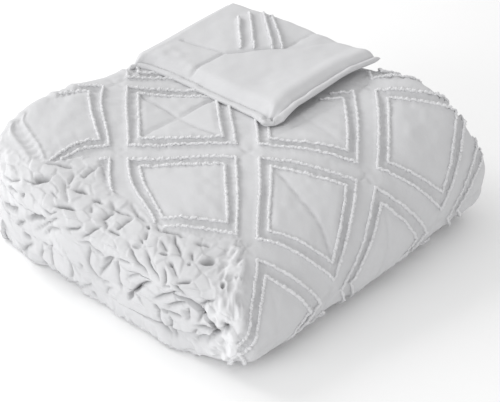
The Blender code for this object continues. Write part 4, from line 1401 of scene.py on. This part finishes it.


def cotton(name, colour, roughness, weave):
    """Soft white cotton: a fine weave, faint slubs, a soft sheen, painted shade in its creases and
    hollows and a painted highlight on the ruffles.
    """
    mat = bpy.data.materials.new(name)
    mat.use_nodes = True
    tree = mat.node_tree
    shader = tree.nodes["Principled BSDF"]
    for socket, value in (
        ("Roughness", roughness), ("Metallic", 0.0), ("Sheen Weight", 0.12), ("Sheen Roughness", 0.6),
        ("Specular IOR Level", 0.25),
    ):
        shader.inputs[socket].default_value = value
    place = tree.nodes.new("ShaderNodeTexCoord")
    cloud = add_node(tree, "ShaderNodeTexNoise", Scale=38.0, Detail=3.0, Roughness=0.55)
    fine = add_node(tree, "ShaderNodeTexNoise", Scale=1700.0, Detail=2.0, Roughness=0.6)
    slub = add_node(tree, "ShaderNodeTexNoise", Scale=330.0, Detail=3.0, Roughness=0.6)
    tint, shaded = (tree.nodes.new("ShaderNodeMix") for _ in range(2))
    tint.data_type = shaded.data_type = "RGBA"
    # unclamped, so that negative shade paints a highlight
    shaded.clamp_factor = False
    tint.inputs["A"].default_value = (*[CLOUDED * c for c in colour], 1.0)
    tint.inputs["B"].default_value = (*colour, 1.0)
    # the colour under full painted shade in the creases and hollows
    shaded.inputs["B"].default_value = (*[CREASE_SHADE_SHARE * c for c in colour], 1.0)
    # each point's painted crease shade, read from the cloth's attribute
    crease = tree.nodes.new("ShaderNodeAttribute")
    crease.attribute_name = "crease"
    both = tree.nodes.new("ShaderNodeMath")
    both.operation = "MULTIPLY_ADD"
    both.inputs[1].default_value = 0.6
    relief = add_node(tree, "ShaderNodeBump", Strength=weave, Distance=0.0006)
    join(tree, (
        (place, "Object", cloud, "Vector"),
        (place, "Object", fine, "Vector"),
        (place, "Object", slub, "Vector"),
        (cloud, "Fac", tint, "Factor"),
        (tint, "Result", shaded, "A"),
        (crease, "Fac", shaded, "Factor"),
        (shaded, "Result", shader, "Base Color"),
        (fine, "Fac", both, 0),
        (slub, "Fac", both, 2),
        (both, "Value", relief, "Height"),
        (relief, "Normal", shader, "Normal"),
    ))
    return mat


def material_named(name):
    """One of the cotton finishes, made when it is first asked for."""
    found = bpy.data.materials.get(name)
    if found:
        return found
    finish = bpy.context.scene.blanket_finish
    if name == "quilted_white_cotton":
        return cotton(name, finish.cloth_colour, finish.roughness, 0.35)
    # the tufts and hem stitches: the same cotton, painted lighter than the cloth as a highlight on the
    # raised rows
    return cotton(name, finish.tuft_colour_and_highlight, finish.roughness, 0.6)


# settings
def setting(name, about, default, unit="NONE", most=None):
    """A setting in the panel: a colour where it has three numbers, and else a size or a share."""
    if isinstance(default, tuple):
        return FloatVectorProperty(
            name=name, description=about, default=default, size=3, subtype="COLOR", min=0.0, max=1.0)
    if most:
        return FloatProperty(name=name, description=about, default=default, min=0.0, max=most)
    return FloatProperty(name=name, description=about, default=default, min=0.0, unit=unit)


class BlanketCloth(bpy.types.PropertyGroup):
    tuft_rise: setting("Row rise", "How far the cloth stands up under the tufted rows", 0.0025, "LENGTH")
    seam_depth: setting("Seam depth", "How far the quilting seams are drawn in", 0.0024, "LENGTH")
    pocket_puff: setting("Pocket puff", "How far the filled pockets swell", 0.0042, "LENGTH")
    crumple_depth: setting("Crumple", "How strongly the fold side is crumpled", 1.0, most=2.0)


class BlanketTufts(bpy.types.PropertyGroup):
    spacing: setting("Spacing", "From one tuft to the next along a row", 0.0024, "LENGTH")
    length: setting("Length", "Half the length of a tuft along its row", 0.0030, "LENGTH")
    width: setting("Width", "Half the width of a tuft", 0.0021, "LENGTH")
    height: setting("Height", "Half the height of a tuft", 0.0020, "LENGTH")
    seed: IntProperty(name="Seed", description="Picks the tufts' random turns and sizes", default=7)


class BlanketStitches(bpy.types.PropertyGroup):
    spacing: setting("Spacing", "From one stitch to the next", 0.0034, "LENGTH")
    length: setting("Length", "Half the length of a stitch", 0.0013, "LENGTH")
    thickness: setting("Thickness", "Half the thickness of the thread", 0.00035, "LENGTH")
    seed: IntProperty(name="Seed", description="Picks the stitches' small differences", default=3)


class BlanketFinish(bpy.types.PropertyGroup):
    cloth_colour: setting("Cloth", "Colour of the quilted cotton", (0.63, 0.63, 0.64))
    # the tufts' own white, painted lighter than the cloth as a highlight for the light their raised rows
    # catch
    tuft_colour_and_highlight: setting("Tufts", "Colour of the clipped tufts", (0.73, 0.73, 0.74))
    roughness: setting("Roughness", "Roughness of the cotton", 0.95, most=1.0)


class BlanketStage(bpy.types.PropertyGroup):
    floor_colour: setting("Floor", "Colour of the plain floor", (0.985, 0.985, 0.985))
    key_power: setting("Key light", "Power of the large soft light", 27.0, "POWER")
    fill_power: setting("Fill light", "Power of the light on the fold side", 28.0, "POWER")
    side_power: setting("Side light", "Power of the light from the right", 4.0, "POWER")
    sky: setting("Sky", "Brightness of the even light from all round", 0.72)


LIGHTS = {
    # how wide, where it hangs, its colour
    "key": (1.2, (-2.0, -0.25, 1.4), (1.0, 1.0, 1.0)),
    "fill": (1.8, (-0.35, -2.4, 0.6), (0.98, 0.99, 1.0)),
    "side": (1.6, (2.3, -0.3, 0.7), (1.0, 1.0, 1.0)),
}
FLOOR_WIDE, FLOOR_ROUGH = 30.0, 0.9  # half the floor's width, and its roughness

# operators
CORNER = []  # the turned-over corner's upper face, kept for its rows and stitches


class BLANKET_OT_cloth(bpy.types.Operator):
    """Lays the quilted cloth in its four layers."""

    bl_idname = "blanket.cloth"
    bl_label = "Quilted cloth"

    def execute(self, context):
        cloth = lay_cloth(material_named("quilted_white_cotton"))
        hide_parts("blanket")
        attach(cloth, "root")
        return {"FINISHED"}


class BLANKET_OT_corner(bpy.types.Operator):
    """Turns the corner of the top ply over the stack."""

    bl_idname = "blanket.corner"
    bl_label = "Turned-over corner"

    def execute(self, context):
        corner, *face = turn_corner(material_named("quilted_white_cotton"))
        CORNER[:] = face
        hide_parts("blanket")
        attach(corner, "root")
        return {"FINISHED"}


class BLANKET_OT_tufts(bpy.types.Operator):
    """Plants the clipped tufts along the double rows."""

    bl_idname = "blanket.tufts"
    bl_label = "Tufted rows"

    def execute(self, context):
        tufts = context.scene.blanket_tufts
        points, names, i, j, crumpled, *_ = dressed_cloth()
        start = np.flatnonzero(names == "outer turn")[0]
        order = np.r_[-NEAR_SIDE[0] : 0, 0 : FACE + FAR_SIDE[0] + 1]
        surface = settle(points[start:][:, order])
        grids = surface, grid_normals(surface, wrap=False), crumpled[start:][:, order]
        i_of, j_of = i[start:, 0], j[start:][:, order]
        squares = [(u, v) for u in SQUARES for v in SQUARES]
        u, v, along_u, along_v = square_rows(tufts.spacing, squares).T
        here, there = (
            place_of(0.5 * (a + b), 0.5 * (a - b))
            for a, b in ((u, v), (u + AHEAD * along_u, v + AHEAD * along_v))
        )
        (found, facing, rough), good = on_grid(*here, i_of, j_of, grids)
        (ahead, _, _), _ = on_grid(*there, i_of, j_of, grids)
        x, y, z = (found + MIDDLE).T
        keep = good & (under_flap(x, y) <= TUFTS_UNDER_CORNER) & (z > TUFTS_FROM_FLOOR)
        keep &= rough < TUFTS_IN_CRUMPLE
        facing = facing[keep] / np.linalg.norm(facing[keep], axis=1, keepdims=True)
        made = [(found[keep], facing, (ahead - found)[keep])]
        rows = [MM * np.array(line) for line in FLAP_ROWS]
        made += [on_corner(line, tufts.spacing, TUFTS_RAISED, *CORNER) for line in rows]
        found, facing, along = (np.concatenate(parts) for parts in zip(*made))
        found = found + np.random.default_rng(tufts.seed).normal(0, TUFTS_ASTRAY, found.shape)
        size = tufts.length, tufts.width, tufts.height
        pile = material_named("clipped_tufts")
        rows = plant("tufted_rows", found, facing, along, pile, size, tufts.seed)
        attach(rows, "root")
        return {"FINISHED"}


class BLANKET_OT_stitches(bpy.types.Operator):
    """Sews the stitches along the turned-over corner's two hems."""

    bl_idname = "blanket.stitches"
    bl_label = "Hem stitches"

    def execute(self, context):
        stitches = context.scene.blanket_stitches
        side = [(x, y + HEM_WIDE) for x, y in SIDE_HEM if SEWN_X[0] < x < SEWN_X[1]]
        end = [(x - HEM_WIDE, y) for y, x in END_HEM if SEWN_Y[0] < y < SEWN_Y[1]]
        made = [on_corner(line, stitches.spacing, STITCHES_RAISED, *CORNER) for line in (side, end)]
        found, facing, along = (np.concatenate(parts) for parts in zip(*made))
        size = stitches.length, stitches.thickness, stitches.thickness
        thread = material_named("clipped_tufts")
        sewn = plant("hem_stitches", found, facing, along, thread, size, stitches.seed)
        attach(sewn, "root")
        return {"FINISHED"}


class BLANKET_OT_stage(bpy.types.Operator):
    """Sets up the floor, the soft light and the camera."""

    bl_idname = "blanket.stage"
    bl_label = "Stage"

    def execute(self, context):
        stage = context.scene.blanket_stage
        mat = bpy.data.materials.new("plain_floor")
        mat.use_nodes = True
        shader = mat.node_tree.nodes["Principled BSDF"]
        shader.inputs["Base Color"].default_value = (*stage.floor_colour, 1.0)
        shader.inputs["Roughness"].default_value = FLOOR_ROUGH
        shader.inputs["Specular IOR Level"].default_value = 0.0
        mesh = bpy.data.meshes.new("floor")
        corners = [(x * FLOOR_WIDE, y * FLOOR_WIDE, 0) for x, y in ((-1, -1), (1, -1), (1, 1), (-1, 1))]
        mesh.from_pydata(corners, [], [(0, 1, 2, 3)])
        mesh.materials.append(mat)
        floor = bpy.data.objects.new("floor", mesh)
        context.scene.collection.objects.link(floor)

        world = bpy.data.worlds.new("soft_room")
        context.scene.world = world
        world.use_nodes = True
        world.node_tree.nodes["Background"].inputs["Color"].default_value = (1.0, 1.0, 1.0, 1.0)
        world.node_tree.nodes["Background"].inputs["Strength"].default_value = stage.sky

        for name, placed in LIGHTS.items():
            place_light(name, getattr(stage, name + "_power"), *placed)
        place_camera(context.scene)
        context.scene.view_settings.view_transform = "Standard"
        return {"FINISHED"}


def place_light(name, power, size, where, colour):
    """A square soft light that faces the bundle."""
    data = bpy.data.lights.new(name, "AREA")
    data.energy = power
    data.size = size
    data.color = colour
    lamp = bpy.data.objects.new(name, data)
    back = Vector(where).normalized()
    lamp.matrix_world = Matrix.Translation(where) @ back.to_track_quat("Z", "Y").to_matrix().to_4x4()
    bpy.context.scene.collection.objects.link(lamp)


def place_camera(scene):
    """The camera at the photograph's viewing angle."""
    right, up, back, where = (Vector(way) for way in camera_ways())
    data = bpy.data.cameras.new("camera")
    data.lens = LENS
    data.sensor_width = FILM
    data.clip_end = 60.0
    camera = bpy.data.objects.new("camera", data)
    turn = Matrix((right, up, back)).transposed().to_4x4()
    camera.matrix_world = Matrix.Translation(where) @ turn
    scene.collection.objects.link(camera)
    scene.camera = camera


class BLANKET_PT_panel(bpy.types.Panel):
    """Lists the blanket's pieces and settings."""

    bl_label = "Folded blanket"
    bl_idname = "BLANKET_PT_panel"
    bl_space_type = "VIEW_3D"
    bl_region_type = "UI"
    bl_category = "Blanket"

    def draw(self, context):
        scene = context.scene
        for operator in OPERATORS:
            self.layout.operator(operator.bl_idname)
        for title in GROUPS:
            group = getattr(scene, title)
            box = self.layout.box()
            for name in group.__annotations__:
                box.prop(group, name)


OPERATORS = (BLANKET_OT_cloth, BLANKET_OT_corner, BLANKET_OT_tufts, BLANKET_OT_stitches, BLANKET_OT_stage)
GROUPS = {
    "blanket_cloth": BlanketCloth,
    "blanket_tufts": BlanketTufts,
    "blanket_stitches": BlanketStitches,
    "blanket_finish": BlanketFinish,
    "blanket_stage": BlanketStage,
}


def register():
    for cls in (*GROUPS.values(), *OPERATORS, BLANKET_PT_panel):
        bpy.utils.register_class(cls)
    for name, group in GROUPS.items():
        setattr(bpy.types.Scene, name, PointerProperty(type=group))


def unregister():
    for name in GROUPS:
        delattr(bpy.types.Scene, name)
    for cls in (BLANKET_PT_panel, *OPERATORS, *GROUPS.values()):
        bpy.utils.unregister_class(cls)


def main():
    register()
    bpy.ops.blanket.cloth()
    bpy.ops.blanket.corner()
    bpy.ops.blanket.tufts()
    bpy.ops.blanket.stitches()
    bpy.ops.blanket.stage()


if __name__ == "__main__":
    main()
